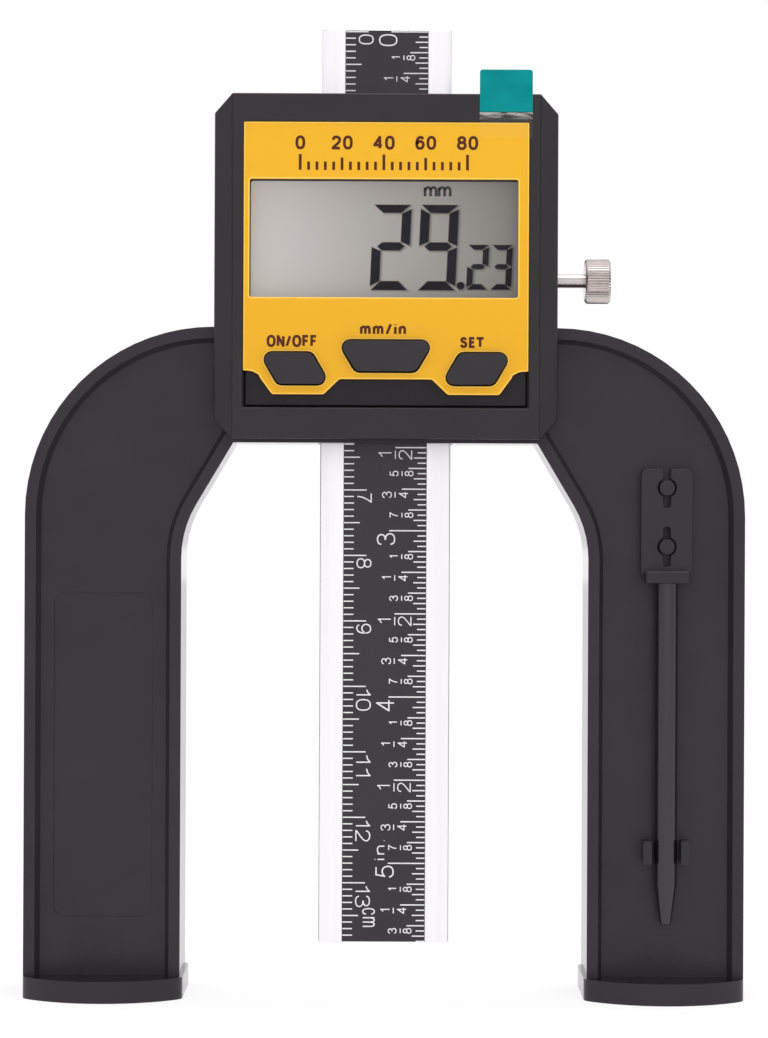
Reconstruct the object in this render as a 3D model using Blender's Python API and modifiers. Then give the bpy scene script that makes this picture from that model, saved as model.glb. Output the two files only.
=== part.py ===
"""Digital depth gauge: an arch on two feet carries a square display head, and a steel rule slides through it.

Run with: blender --background --python part.py
Metres, +Z up. The origin is on the surface that the feet stand on, in the middle of the part.
The face looks along -Y. The rule's middle plane is Y = 0.
"""

import math

import bmesh
import bpy
from mathutils import Matrix, Vector

# Fits
FIT_GAP = 0.0003
BOND_GAP = 0.0001
CUT_OVERRUN = 0.001

# Facets of round shapes
ROUND_SIDES = 32
SMALL_SIDES = 16
CORNER_STEPS = 3
CORNER_LENGTH_SHARE = 0.9
MERGE_GAP = 0.000003
ARC_ERROR = 0.00003
ARC_COARSEST_SHARE = 0.1
ROUND_EDGE_STEPS = 2
STRAIGHT = math.radians(178)
SHARP = math.radians(60)
BLUNT = math.radians(30)
SMOOTH = math.radians(40)

# Arch
ARCH_WIDTH = 0.109
ARCH_DEPTH = 0.0126
SHOULDER_HEIGHT = 0.1016
SHOULDER_RISE = 0.017
SHOULDER_FLAT = 0.0002
LEG_WIDTH = 0.0237
HIP_ANGLE = math.radians(30.7)
HIP_RADIUS = 0.016
HIP_REACH = 0.0078
BRIDGE_LIP = 0.0005
RIM_THICKNESS = 0.0017
TRAY_DEPTH = 0.0016
WEB_THICKNESS = 0.0021
LEG_LABEL_WIDTH = 0.015
LEG_LABEL_LENGTH = 0.0493
LEG_LABEL_LIFT = 0.0087
LEG_LABEL_RADIUS = 0.0018
LEG_LABEL_SINK = 0.0002

# Feet and their magnets
FOOT_WIDTH = 0.0242
FOOT_HEIGHT = 0.0033
FOOT_SHOULDER = 0.0012
FOOT_BOW = 0.005
FOOT_CORNER = 0.001
FOOT_EDGE = 0.0004
MAGNET_RADIUS = 0.0037
MAGNET_THICKNESS = 0.002
MAGNET_SPACING = 0.0112
MAGNET_SINK = 0.0001

# Head: the front shell
HEAD_SIZE = 0.0516
HEAD_DEPTH = 0.0057
HEAD_CHAMFER = 0.00276
HEAD_WALL = 0.0015
BEVEL_WIDTH = 0.0027
BEVEL_DEPTH = 0.002
FACE_MARGIN = 0.0044
FACE_LIFT = 0.0046
FACE_RECESS = 0.0011
BOSS_RADIUS = 0.0022

# Head: the rear cover and its hatch
CELL_LID_GAP = 0.00065
HATCH_HALF_WIDTH = 0.012
HATCH_HEIGHT = 0.0282
HATCH_THICKNESS = 0.0014
HATCH_RAIL = 0.001
HATCH_RAIL_THICKNESS = 0.0007
HATCH_GRIP_WIDTH = 0.01
HATCH_GRIP_HEIGHT = 0.0007
HATCH_GRIP_SINK = 0.0004
HATCH_GRIP_PITCH = 0.0016
HATCH_GRIP_COUNT = 5

# Face plate: the yellow part, whose lower outline steps round the buttons at these distances from them
PLATE_THICKNESS = 0.0008
PLATE_CORNER = 0.0005
PLATE_SIDE_DROP = 0.00016
PLATE_SHOULDER_REACH = 0.0053
PLATE_SHOULDER_DROP = 0.00126
PLATE_LOBE_RIM = 0.00151
PLATE_LOBE_OUTER_REACH = 0.0034
PLATE_LOBE_INNER_REACH = 0.0043
PLATE_MIDDLE_RIM = 0.00115
PLATE_MIDDLE_REACH = 0.001025

# Display
WINDOW_MARGIN = 0.0013
WINDOW_LIFT = 0.0164
WINDOW_DROP = 0.0087
WINDOW_CORNER = 0.0003
WINDOW_LAP = 0.0007
PANE_THICKNESS = 0.0007
PANE_FLOOR_WALL = 0.0006
LCD_LAP = 0.0014
LCD_THICKNESS = 0.0017
CONNECTOR_HEIGHT = 0.0016
CONNECTOR_END_GAP = 0.0008

# Buttons: their corners are measured from the button's middle
BUTTON_TRAVEL = 0.0004
BUTTON_PROUD = 0.0007
BUTTON_CLEARANCE = 0.0002
BUTTON_CORNER = 0.00105
BUTTON_FLANGE = 0.0006
BUTTON_FLANGE_THICKNESS = 0.0008
BUTTON_STEM_RADIUS = 0.0014
BUTTON_EDGE = 0.00025
SIDE_BUTTON_SHARE = 0.6355
SIDE_BUTTON_LIFT = 0.00586
SIDE_BUTTON_HEIGHT = 0.0047
SIDE_BUTTON_WIDTH = 0.0078
UNITS_BUTTON_LIFT = 0.00775
UNITS_BUTTON_HEIGHT = 0.0046
UNITS_BUTTON_WIDTH = 0.01175
BUTTON_SLANT = 0.0029

# Switches under the buttons
SWITCH_SIZE = 0.0045
SWITCH_THICKNESS = 0.0015
PLUNGER_RADIUS = 0.0009
PLUNGER_PROUD = 0.0008
PLUNGER_BORE_DEPTH = 0.0011
PLUNGER_BOTTOM_GAP = 0.0002

# Circuit board
BOARD_SIDE_INSET = 0.007
BOARD_END_INSET = 0.003
BOARD_THICKNESS = 0.0012
BOARD_CORNER = 0.0005
SENSOR_WALL = 0.0006
SENSOR_SIDE_WALL = 0.00225
SENSOR_INSET = 0.0034
CHIP_SIZE = 0.008
CHIP_THICKNESS = 0.0012
BOARD_SCREW_RADIUS = 0.0008
BOARD_SCREW_LENGTH = 0.004
BOARD_SCREW_HEAD_RADIUS = 0.0014
BOARD_SCREW_HEAD_HEIGHT = 0.0009
BOARD_SCREW_INSET = 0.0023

# Wells that lighten the block behind the board
WELL_WALL = 0.00285
WELL_WIDTH = 0.005
WELL_INSET = 0.005
WELL_FLOOR = 0.0016
WELL_RIB_HALF = 0.0052

# Rule
RULE_LENGTH = 0.1395
RULE_WIDTH = 0.0199
RULE_THICKNESS = 0.0035
RULE_DROP = 0.0079
RULE_END_WALL = 0.001
RULE_BEVEL_WIDTH = 0.00245
RULE_BEVEL_DEPTH = 0.0004
RULE_CORNER = 0.0004
STRIP_MARGIN = 0.00361
STRIP_THICKNESS = 0.0002
STRIP_END_GAP = 0.00015
STOP_PIN_RADIUS = 0.001
STOP_PIN_PROUD = 0.0013
STOP_PIN_DEPTH = 0.0021
STOP_PIN_INSET = 0.0028
STOP_GAP = 0.0003

# Leaf spring beside the rule
SPRING_LENGTH = 0.02
SPRING_BOW = 0.0008
SPRING_THICKNESS = 0.0003
SPRING_WIDTH = 0.0022
SPRING_SIDE_GAP = 0.0002

# Lock
LOCK_LIFT = 0.0246
SHAFT_RADIUS = 0.00107
SHAFT_EXPOSED = 0.0047
KNOB_RADIUS = 0.00345
KNOB_LENGTH = 0.0038
KNOB_CHAMFER = 0.0003
KNOB_HUB_RADIUS = 0.0021
KNOB_HUB_SINK = 0.0004
PAD_RADIUS = 0.0018
PAD_LENGTH = 0.003
LOCK_LOOSEN = 0.0018
INSERT_RADIUS = 0.0022
INSERT_LENGTH = 0.0046
INSERT_SINK = 0.0003
INSERT_FIT = 0.0001

# Battery
CELL_RADIUS = 0.01
CELL_THICKNESS = 0.0032
CELL_LIFT = 0.0161
CELL_CLEARANCE = 0.0005
CELL_WALL = 0.0016
CELL_EDGE = 0.0004
CONTACT_THICKNESS = 0.0003
CONTACT_WIDTH = 0.0045
CONTACT_LENGTH = 0.012
CONTACT_SLOT_CLEARANCE = 0.0004

# Rear cover screws
COVER_SCREW_INSET = 0.0042
COVER_SCREW_RADIUS = 0.001
COVER_SCREW_HEAD_RADIUS = 0.0019
COVER_SCREW_HEAD_HEIGHT = 0.0014
COVER_SCREW_SINK = 0.0002
COVER_SCREW_TIP_WALL = 0.0004
SCREW_SLOT_WIDTH = 0.0005
SCREW_SLOT_DEPTH = 0.0005
SCREW_SLOT_SHARE = 0.62
SCREW_CLEARANCE = 0.0002

# Stored probe
PROBE_TIP_LIFT = 0.0082
PROBE_ROD_RADIUS = 0.0017
PROBE_TOP_GAP = 0.0212
PROBE_TAPER_LENGTH = 0.0061
PROBE_TIP_RADIUS = 0.0008
PROBE_NECK_WIDTH = 0.0069
PROBE_NECK_HEIGHT = 0.0017
PROBE_NECK_PROUD = 0.0002
PROBE_NECK_LAP = 0.0005
PROBE_PLATE_WIDTH = 0.0078
PROBE_PLATE_LENGTH = 0.0156
PROBE_PLATE_THICKNESS = 0.0016
PROBE_PLATE_CORNER = 0.0009
PROBE_HOLE_RADIUS = 0.00142
PROBE_UPPER_HOLE_DROP = 0.0029
PROBE_HOLE_SPACING = 0.0089
PROBE_SLOT_WIDTH = 0.0011
PROBE_SLOT_REACH = 0.003
PROBE_SLOT_CORNER = 0.00044
PROBE_BOSS_RADIUS = 0.00115
PROBE_BOSS_PROUD = 0.0004
PRONG_WIDTH = 0.0013
PRONG_HEIGHT = 0.0036
PRONG_GAP = 0.0005
PRONG_LIFT = 0.0191
PRONG_LENGTH = 0.0034
PRONG_CORNER = 0.0003

# Film left on the face
FILM_INSET = 0.00795
FILM_WIDTH = 0.0079
FILM_THICKNESS = 0.0001
FILM_LAP = 0.0024
FILM_REACH = 0.0015
FILM_TAB_HEIGHT = 0.0063
FILM_TAB_CORNER = 0.0004

# Levels through the depth of the part, front to back
RIM_FRONT = -ARCH_DEPTH / 2
HEAD_FRONT = RIM_FRONT - HEAD_DEPTH
ARCH_BACK = ARCH_DEPTH / 2
PANEL_FRONT = RIM_FRONT + TRAY_DEPTH
PANEL_BACK = PANEL_FRONT + WEB_THICKNESS
RULE_FRONT = -RULE_THICKNESS / 2
RULE_BACK = RULE_THICKNESS / 2
STRIP_BACK = RULE_FRONT - BOND_GAP
STRIP_FRONT = STRIP_BACK - STRIP_THICKNESS
CHANNEL_FRONT = STRIP_FRONT - FIT_GAP
CHANNEL_BACK = RULE_BACK + FIT_GAP
POCKET_FLOOR = CHANNEL_FRONT - SENSOR_WALL
BOARD_BACK = POCKET_FLOOR - FIT_GAP
BOARD_FRONT = BOARD_BACK - BOARD_THICKNESS
SWITCH_BACK = BOARD_FRONT - FIT_GAP
SWITCH_FRONT = SWITCH_BACK - SWITCH_THICKNESS
PLUNGER_BACK = SWITCH_FRONT + PLUNGER_BORE_DEPTH - BUTTON_TRAVEL - PLUNGER_BOTTOM_GAP
PLUNGER_FRONT = SWITCH_FRONT - PLUNGER_PROUD
SHELL_BACK = RIM_FRONT - FIT_GAP
FACE_FLOOR = HEAD_FRONT + FACE_RECESS
PLATE_BACK = FACE_FLOOR - BOND_GAP
PLATE_FRONT = PLATE_BACK - PLATE_THICKNESS
SHELL_INNER = FACE_FLOOR + HEAD_WALL
PANE_BACK = SHELL_INNER - PANE_FLOOR_WALL - BOND_GAP
PANE_FRONT = PANE_BACK - PANE_THICKNESS
LCD_FRONT = SHELL_INNER + FIT_GAP
LCD_BACK = LCD_FRONT + LCD_THICKNESS
BUTTON_FRONT = PLATE_FRONT - BUTTON_PROUD
STEM_BACK = PLUNGER_FRONT - FIT_GAP
REAR_FRONT = ARCH_BACK + FIT_GAP
CELL_FLOOR = CHANNEL_BACK + CELL_WALL
NEGATIVE_FRONT = CELL_FLOOR + BOND_GAP
CELL_FRONT = NEGATIVE_FRONT + CONTACT_THICKNESS + FIT_GAP
CELL_BACK = CELL_FRONT + CELL_THICKNESS
HATCH_FRONT = CELL_BACK + CELL_LID_GAP
HEAD_REAR = HATCH_FRONT + HATCH_THICKNESS

# Places worked out from the sizes above
HEAD_HALF = HEAD_SIZE / 2
HEAD_BOTTOM = SHOULDER_HEIGHT - SHOULDER_RISE
HEAD_TOP = HEAD_BOTTOM + HEAD_SIZE
LEG_OUTER_X = ARCH_WIDTH / 2
LEG_INNER_X = LEG_OUTER_X - LEG_WIDTH
LEG_MIDDLE_X = LEG_OUTER_X - LEG_WIDTH / 2
FOOT_MIDDLE_X = LEG_OUTER_X - FOOT_WIDTH / 2
SHOULDER_X = HEAD_HALF + SHOULDER_FLAT
SHOULDER_RADIUS = LEG_OUTER_X - SHOULDER_X
SHOULDER_Z = SHOULDER_HEIGHT - SHOULDER_RADIUS
BRIDGE_BOTTOM = HEAD_BOTTOM - BRIDGE_LIP
BRIDGE_HALF_WIDTH = LEG_INNER_X - HIP_REACH
LEG_END = FOOT_HEIGHT - FOOT_EDGE / 2
LEG_LABEL_BOTTOM = FOOT_HEIGHT + LEG_LABEL_LIFT
FACE_HALF = HEAD_HALF - FACE_MARGIN
FACE_BOTTOM = HEAD_BOTTOM + FACE_LIFT
FACE_TOP = FACE_BOTTOM + FACE_HALF + FACE_HALF
WINDOW_HALF = FACE_HALF - WINDOW_MARGIN
WINDOW_BOTTOM = FACE_BOTTOM + WINDOW_LIFT
WINDOW_TOP = FACE_TOP - WINDOW_DROP
SIDE_BUTTON_X = FACE_HALF * SIDE_BUTTON_SHARE
SIDE_BUTTON_Z = FACE_BOTTOM + SIDE_BUTTON_LIFT
UNITS_BUTTON_Z = FACE_BOTTOM + UNITS_BUTTON_LIFT
BOARD_HALF = HEAD_HALF - BOARD_SIDE_INSET
BOARD_BOTTOM = HEAD_BOTTOM + BOARD_END_INSET
BOARD_TOP = HEAD_TOP - BOARD_END_INSET
CHIP_Z = (WINDOW_BOTTOM + WINDOW_TOP) / 2
LOCK_HEIGHT = HEAD_BOTTOM + LOCK_LIFT
CELL_Z = HEAD_BOTTOM + CELL_LIFT
STOP_PIN_UPPER_Z = HEAD_TOP + STOP_GAP + STOP_PIN_RADIUS + RULE_DROP
RULE_TOP = STOP_PIN_UPPER_Z + STOP_PIN_RADIUS + RULE_END_WALL
RULE_TIP_HEIGHT = RULE_TOP - RULE_LENGTH
STOP_PIN_LOWER_Z = RULE_TIP_HEIGHT + STOP_PIN_INSET
CHANNEL_HALF = RULE_WIDTH / 2 + FIT_GAP
WELL_INNER_X = CHANNEL_HALF + WELL_WALL
WELL_OUTER_X = WELL_INNER_X + WELL_WIDTH
SPRING_POCKET_X = CHANNEL_HALF + SPRING_BOW + SPRING_THICKNESS + FIT_GAP
PAD_FRONT_X = RULE_WIDTH / 2 + FIT_GAP
PAD_BACK_X = PAD_FRONT_X + PAD_LENGTH
SHAFT_TIP_X = PAD_BACK_X + FIT_GAP
KNOB_INNER_X = HEAD_HALF + SHAFT_EXPOSED
PAD_BORE_END_X = PAD_BACK_X + LOCK_LOOSEN + FIT_GAP
PROBE_X = LEG_MIDDLE_X
PROBE_TIP_Z = FOOT_HEIGHT + PROBE_TIP_LIFT
PROBE_TOP = SHOULDER_HEIGHT - PROBE_TOP_GAP
PROBE_PLATE_BOTTOM = PROBE_TOP - PROBE_PLATE_LENGTH
PROBE_NECK_BOTTOM = PROBE_PLATE_BOTTOM - PROBE_NECK_HEIGHT
PROBE_BACK = PANEL_FRONT - FIT_GAP
PROBE_ROD_Y = PROBE_BACK - PROBE_ROD_RADIUS
PROBE_UPPER_HOLE_Z = PROBE_TOP - PROBE_UPPER_HOLE_DROP
PROBE_LOWER_HOLE_Z = PROBE_UPPER_HOLE_Z - PROBE_HOLE_SPACING
PRONG_Z = FOOT_HEIGHT + PRONG_LIFT
FILM_X = HEAD_HALF - FILM_INSET
FILM_BOTTOM = FACE_TOP - FILM_LAP
FILM_TAB_BOTTOM = FACE_TOP + FILM_REACH

# Materials: base colour, roughness, metallic
BLACK_PLASTIC = ("black_plastic", (0.050, 0.046, 0.050), 0.45, 0.0)
BUTTON_PLASTIC = ("button_plastic", (0.052, 0.048, 0.052), 0.5, 0.0)
YELLOW_PLASTIC = ("yellow_plastic", (0.85, 0.45, 0.035), 0.4, 0.0)
CLEAR_PLASTIC = ("clear_plastic", (0.85, 0.86, 0.85), 0.08, 0.0)
LCD_GLASS = ("lcd_glass", (0.48, 0.46, 0.42), 0.2, 0.0)
STEEL = ("steel", (0.80, 0.79, 0.78), 0.3, 1.0)
SCALE_BLACK = ("scale_black", (0.055, 0.050, 0.052), 0.55, 0.0)
NICKEL = ("nickel_plate", (0.62, 0.58, 0.55), 0.28, 1.0)
BRASS = ("brass", (0.72, 0.52, 0.22), 0.3, 1.0)
BOARD_GREEN = ("board_green", (0.03, 0.20, 0.08), 0.5, 0.0)
CHIP_BLACK = ("chip_black", (0.02, 0.02, 0.02), 0.6, 0.0)
CONNECTOR_RUBBER = ("connector_rubber", (0.45, 0.20, 0.22), 0.8, 0.0)
TEAL_FILM = ("teal_film", (0.005, 0.32, 0.32), 0.35, 0.0)

LAYERS = ("depth_gauge", "cutters")


def clear_scene():
    for obj in list(bpy.data.objects):
        bpy.data.objects.remove(obj, do_unlink=True)


def make_collections():
    found = {}
    for name in LAYERS:
        found[name] = bpy.data.collections.new(name)
        bpy.context.scene.collection.children.link(found[name])
    found["cutters"].hide_render = True
    return found


clear_scene()
COLLECTIONS = make_collections()


# Shapes: each returns a closed mesh in the part's own frame


def material(finish):
    name, colour, roughness, metallic = finish
    found = bpy.data.materials.get(name)
    if found:
        return found
    made = bpy.data.materials.new(name)
    made.use_nodes = True
    made.diffuse_color = (*colour, 1)
    shader = made.node_tree.nodes["Principled BSDF"]
    shader.inputs["Base Color"].default_value = (*colour, 1)
    shader.inputs["Roughness"].default_value = roughness
    shader.inputs["Metallic"].default_value = metallic
    return made


def arc(centre, radius, start, end):
    """Points along an arc about centre, from angle start to angle end, both ends included."""
    widest = 2 * math.acos(1 - min(ARC_ERROR / radius, ARC_COARSEST_SHARE))
    steps = math.ceil(abs(end - start) / widest)
    angles = [start + (end - start) * step / steps for step in range(steps + 1)]
    return [(centre[0] + radius * math.cos(a), centre[1] + radius * math.sin(a)) for a in angles]


def rounded(corners, radius):
    """The outline through corners, each turned on an arc; radius is one value, or one for each corner."""
    radii = radius if isinstance(radius, (list, tuple)) else [radius] * len(corners)
    points = []
    for index, (corner, turn) in enumerate(zip(corners, radii)):
        here = Vector(corner)
        back = (Vector(corners[index - 1]) - here).normalized()
        ahead = (Vector(corners[(index + 1) % len(corners)]) - here).normalized()
        half = math.acos(max(-1.0, min(1.0, back.dot(ahead)))) / 2
        if not turn or 2 * half > STRAIGHT:
            points.append(tuple(here))
            continue
        centre = here + (back + ahead).normalized() * (turn / math.sin(half))
        first = here + back * (turn / math.tan(half)) - centre
        last = here + ahead * (turn / math.tan(half)) - centre
        start = math.atan2(first.y, first.x)
        sweep = (math.atan2(last.y, last.x) - start + math.pi) % math.tau - math.pi
        points += arc(centre, turn, start, start + sweep)
    return points


def mirrored(points):
    """The points followed by their mirror image in the other half, in the order that closes the outline."""
    return points + [(-x, y) for x, y in reversed(points)]


AXES = {
    "X": Matrix(((0, 0, 1, 0), (1, 0, 0, 0), (0, 1, 0, 0), (0, 0, 0, 1))),
    "Y": Matrix(((1, 0, 0, 0), (0, 0, -1, 0), (0, 1, 0, 0), (0, 0, 0, 1))),
    "Z": Matrix.Identity(4),
}
SIDE_OF_AXIS = {"X": 1, "Y": -1, "Z": 1}


def mesh_from(build):
    """A mesh filled in by build, a function that works on a bmesh."""
    work = bmesh.new()
    build(work)
    mesh = bpy.data.meshes.new("shape")
    work.to_mesh(mesh)
    work.free()
    return mesh


def prism(loops, low, high, axis="Y"):
    """A plate from low to high along axis, cut to closed outlines: first its edge, then its holes."""
    curve = bpy.data.curves.new("outline", "CURVE")
    curve.dimensions = "2D"
    curve.fill_mode = "BOTH"
    curve.extrude = (high - low) / 2
    for loop in loops:
        spline = curve.splines.new("POLY")
        spline.points.add(len(loop) - 1)
        for point, (u, v) in zip(spline.points, loop):
            point.co = (u, v, 0, 1)
        spline.use_cyclic_u = True
    sketch = bpy.data.objects.new("outline", curve)
    COLLECTIONS["cutters"].objects.link(sketch)
    bpy.context.view_layer.update()
    flat = bpy.data.meshes.new_from_object(sketch.evaluated_get(bpy.context.evaluated_depsgraph_get()))
    bpy.data.objects.remove(sketch)
    middle = SIDE_OF_AXIS[axis] * (low + high) / 2

    def close(work):
        work.from_mesh(flat)
        bmesh.ops.remove_doubles(work, verts=work.verts, dist=MERGE_GAP)
        work.transform(AXES[axis] @ Matrix.Translation((0, 0, middle)))
        bmesh.ops.recalc_face_normals(work, faces=work.faces)

    return mesh_from(close)


def box(low, high):
    """A block between two corners."""
    size = [b - a for a, b in zip(low, high)]
    middle = [(a + b) / 2 for a, b in zip(low, high)]

    def fill(work):
        bmesh.ops.create_cube(work, size=1)
        work.transform(Matrix.Translation(middle) @ Matrix.Diagonal((*size, 1)))

    return mesh_from(fill)


def rod(centre, radius, low, high, axis, sides=ROUND_SIDES):
    """A cylinder along axis, from low to high; centre gives its other two coordinates in X, Y, Z order."""
    turn = {"X": Matrix.Rotation(math.pi / 2, 4, "Y"), "Y": Matrix.Rotation(-math.pi / 2, 4, "X")}
    along = "XYZ".index(axis)
    middle = list(centre)
    middle.insert(along, (low + high) / 2)

    def fill(work):
        size = {"radius1": radius, "radius2": radius, "depth": high - low}
        bmesh.ops.create_cone(work, cap_ends=True, segments=sides, **size)
        work.transform(Matrix.Translation(middle) @ turn.get(axis, Matrix.Identity(4)))

    return mesh_from(fill)


# Objects


def place(name, mesh, origin=(0, 0, 0), parent=None, layer="depth_gauge"):
    """An object whose own origin is at origin, with mesh given in the part's frame."""
    mesh.transform(Matrix.Translation(-Vector(origin)))
    mesh.name = name
    made = bpy.data.objects.new(name, mesh)
    made.location = origin
    COLLECTIONS[layer].objects.link(made)
    if parent:
        made.parent = parent
        made.location = Vector(origin) - parent.location
    return made


def shape_with(obj, mesh, operation):
    """Cuts mesh from an object, or joins it on, with a Boolean modifier."""
    tool = place(f"{obj.name}_tool", mesh, layer="cutters")
    tool.hide_render = True
    tool.display_type = "WIRE"
    step = obj.modifiers.new(operation.lower(), "BOOLEAN")
    step.operation = operation
    step.object = tool


def cut(obj, *meshes):
    for mesh in meshes:
        shape_with(obj, mesh, "DIFFERENCE")


def join(obj, *meshes):
    for mesh in meshes:
        shape_with(obj, mesh, "UNION")


def soften(obj, width, steps, turn):
    """Rounds the edges of an object where its faces turn by more than an angle."""
    edge = obj.modifiers.new("edge", "BEVEL")
    edge.width = width
    edge.segments = steps
    edge.limit_method = "ANGLE"
    edge.angle_limit = turn


def evaluated(obj):
    """The mesh of an object with its modifiers applied; the object itself is removed."""
    bpy.context.view_layer.update()
    shaped = bpy.data.meshes.new_from_object(obj.evaluated_get(bpy.context.evaluated_depsgraph_get()))
    bpy.data.objects.remove(obj)
    return shaped


def finish(obj, look):
    """Gives an object its material, and smooth shading up to its sharp edges."""
    obj.data.materials.append(material(look))
    obj.data.shade_smooth()
    obj.data.set_sharp_from_angle(angle=SMOOTH)
    return obj


def joint_origin(name, point):
    """An empty on a joint's axis, which carries the pieces that the joint moves."""
    empty = bpy.data.objects.new(name, None)
    empty.location = point
    COLLECTIONS["depth_gauge"].objects.link(empty)
    return empty


# Outlines in the face's plane


def square(half, low, high, chamfer):
    """A square's outline with its corners cut off."""
    right = [(half - chamfer, low), (half, low + chamfer), (half, high - chamfer), (half - chamfer, high)]
    return mirrored(right)


def hip_corner():
    """Where the line of the hip meets the inner side of the left leg."""
    drop = (LEG_INNER_X - BRIDGE_HALF_WIDTH) / math.tan(HIP_ANGLE)
    return -LEG_INNER_X, BRIDGE_BOTTOM - drop


def arch_outline():
    """The whole arch: from the middle of the bridge down the left leg, over the shoulder, round the head."""
    shoulder = arc((-SHOULDER_X, SHOULDER_Z), SHOULDER_RADIUS, math.pi, math.pi / 2)
    corners = [(-BRIDGE_HALF_WIDTH, BRIDGE_BOTTOM), hip_corner(), (-LEG_INNER_X, LEG_END)]
    inner = rounded([(0, BRIDGE_BOTTOM), *corners], [0, 0, HIP_RADIUS, 0])[1:]
    outer = [(-LEG_OUTER_X, LEG_END), *shoulder, (-HEAD_HALF, SHOULDER_HEIGHT)]
    head = [(-HEAD_HALF, HEAD_TOP - HEAD_CHAMFER), (-HEAD_HALF + HEAD_CHAMFER, HEAD_TOP)]
    return mirrored(inner + outer + head)


def under_shoulder():
    """What lies inside the left leg's outer rim, between the foot, the shoulder and the head's corner."""
    top = arc((-SHOULDER_X, SHOULDER_Z), SHOULDER_RADIUS - RIM_THICKNESS, math.pi, math.pi / 2)
    roof = (-HEAD_HALF, SHOULDER_HEIGHT - RIM_THICKNESS)
    corner = [(-HEAD_HALF, HEAD_BOTTOM + HEAD_CHAMFER), (-HEAD_HALF + HEAD_CHAMFER, HEAD_BOTTOM)]
    foot = [(corner[1][0], FOOT_HEIGHT), (-LEG_OUTER_X + RIM_THICKNESS, FOOT_HEIGHT)]
    return [*foot, *top, roof, *corner]


def outside_hip():
    """What lies outside the left leg's inner rim and the rim of the hip above it."""
    corner_x, corner_z = hip_corner()
    hip = (corner_x - RIM_THICKNESS, corner_z + RIM_THICKNESS * math.tan(HIP_ANGLE / 2))
    top = SHOULDER_HEIGHT + CUT_OVERRUN
    rise = (hip[0] + (top - hip[1]) * math.tan(HIP_ANGLE), top)
    outer = -LEG_OUTER_X - CUT_OVERRUN
    corners = [rise, hip, (hip[0], 0), (outer, 0), (outer, top)]
    return rounded(corners, [0, HIP_RADIUS + RIM_THICKNESS, 0, 0, 0])


def tray(side, low, high):
    """A hollow of one leg, inside its rim; side is -1 for the left leg and 1 for the right."""
    outline = [(-side * x, z) for x, z in under_shoulder()]
    hollow = place("tray_shape", prism([outline], low, high), layer="cutters")
    outline = [(-side * x, z) for x, z in outside_hip()]
    shape_with(hollow, prism([outline], low - CUT_OVERRUN, high + CUT_OVERRUN), "INTERSECT")
    return evaluated(hollow)


def foot_outline(side):
    """A foot seen from above: straight sides that run a little past the arch, and a bowed front and back."""
    half = FOOT_WIDTH / 2
    radius = (half**2 + FOOT_BOW**2) / (2 * FOOT_BOW)
    spread = math.asin(half / radius)
    crown_top = ARCH_BACK + FOOT_SHOULDER + FOOT_BOW
    crown = arc((0, crown_top - radius), radius, math.pi / 2 - spread, math.pi / 2 + spread)
    ends = crown + [(x, -y) for x, y in reversed(crown)]
    count = len(crown)
    corner = min(FOOT_CORNER, FOOT_SHOULDER * CORNER_LENGTH_SHARE)
    radii = [corner if index % count in (0, count - 1) else 0 for index in range(len(ends))]
    return [(side * FOOT_MIDDLE_X + x, y) for x, y in trimmed_corners(ends, radii)]


def trimmed_corners(corners, radii):
    """An outline whose marked corners are cut back by their radius along both sides and turned."""
    points = []
    for index, (corner, radius) in enumerate(zip(corners, radii)):
        if not radius:
            points.append(corner)
            continue
        here = Vector(corner)
        ends = [Vector(corners[index - 1]), Vector(corners[(index + 1) % len(corners)])]
        reaches = [min(radius, (end - here).length * CORNER_LENGTH_SHARE) for end in ends]
        legs = [(end - here).normalized() * reach for end, reach in zip(ends, reaches)]
        for step in range(CORNER_STEPS + 1):
            t = step / CORNER_STEPS
            points.append(tuple(here + legs[0] * (1 - t) ** 2 + legs[1] * t**2))
    return points


def side_button(side, grow=0):
    """A parallelogram that leans towards the middle of the face as it goes down."""
    half_width = SIDE_BUTTON_WIDTH / 2 + grow
    half_height = SIDE_BUTTON_HEIGHT / 2 + grow
    lean = BUTTON_SLANT / 2
    corners = [
        (-half_width - lean, half_height),
        (half_width - lean, half_height),
        (half_width + lean, -half_height),
        (-half_width + lean, -half_height),
    ]
    outline = rounded(corners, BUTTON_CORNER + grow)
    return [(side * (SIDE_BUTTON_X - x), SIDE_BUTTON_Z + z) for x, z in outline]


def units_button(grow=0):
    """A trapezoid, wider at its top."""
    half_width = UNITS_BUTTON_WIDTH / 2 + grow
    half_height = UNITS_BUTTON_HEIGHT / 2 + grow
    lean = BUTTON_SLANT / 2
    right = [(half_width - lean, -half_height), (half_width + lean, half_height)]
    outline = rounded(mirrored(right), BUTTON_CORNER + grow)
    return [(x, UNITS_BUTTON_Z + z) for x, z in outline]


BUTTONS = {
    "power": (lambda grow=0: side_button(-1, grow), (-SIDE_BUTTON_X, SIDE_BUTTON_Z)),
    "units": (units_button, (0, UNITS_BUTTON_Z)),
    "set": (lambda grow=0: side_button(1, grow), (SIDE_BUTTON_X, SIDE_BUTTON_Z)),
}


def window_outline(lap=0):
    half = WINDOW_HALF + lap
    low, high = WINDOW_BOTTOM - lap, WINDOW_TOP + lap
    return rounded([(-half, low), (half, low), (half, high), (-half, high)], WINDOW_CORNER + lap)


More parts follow.
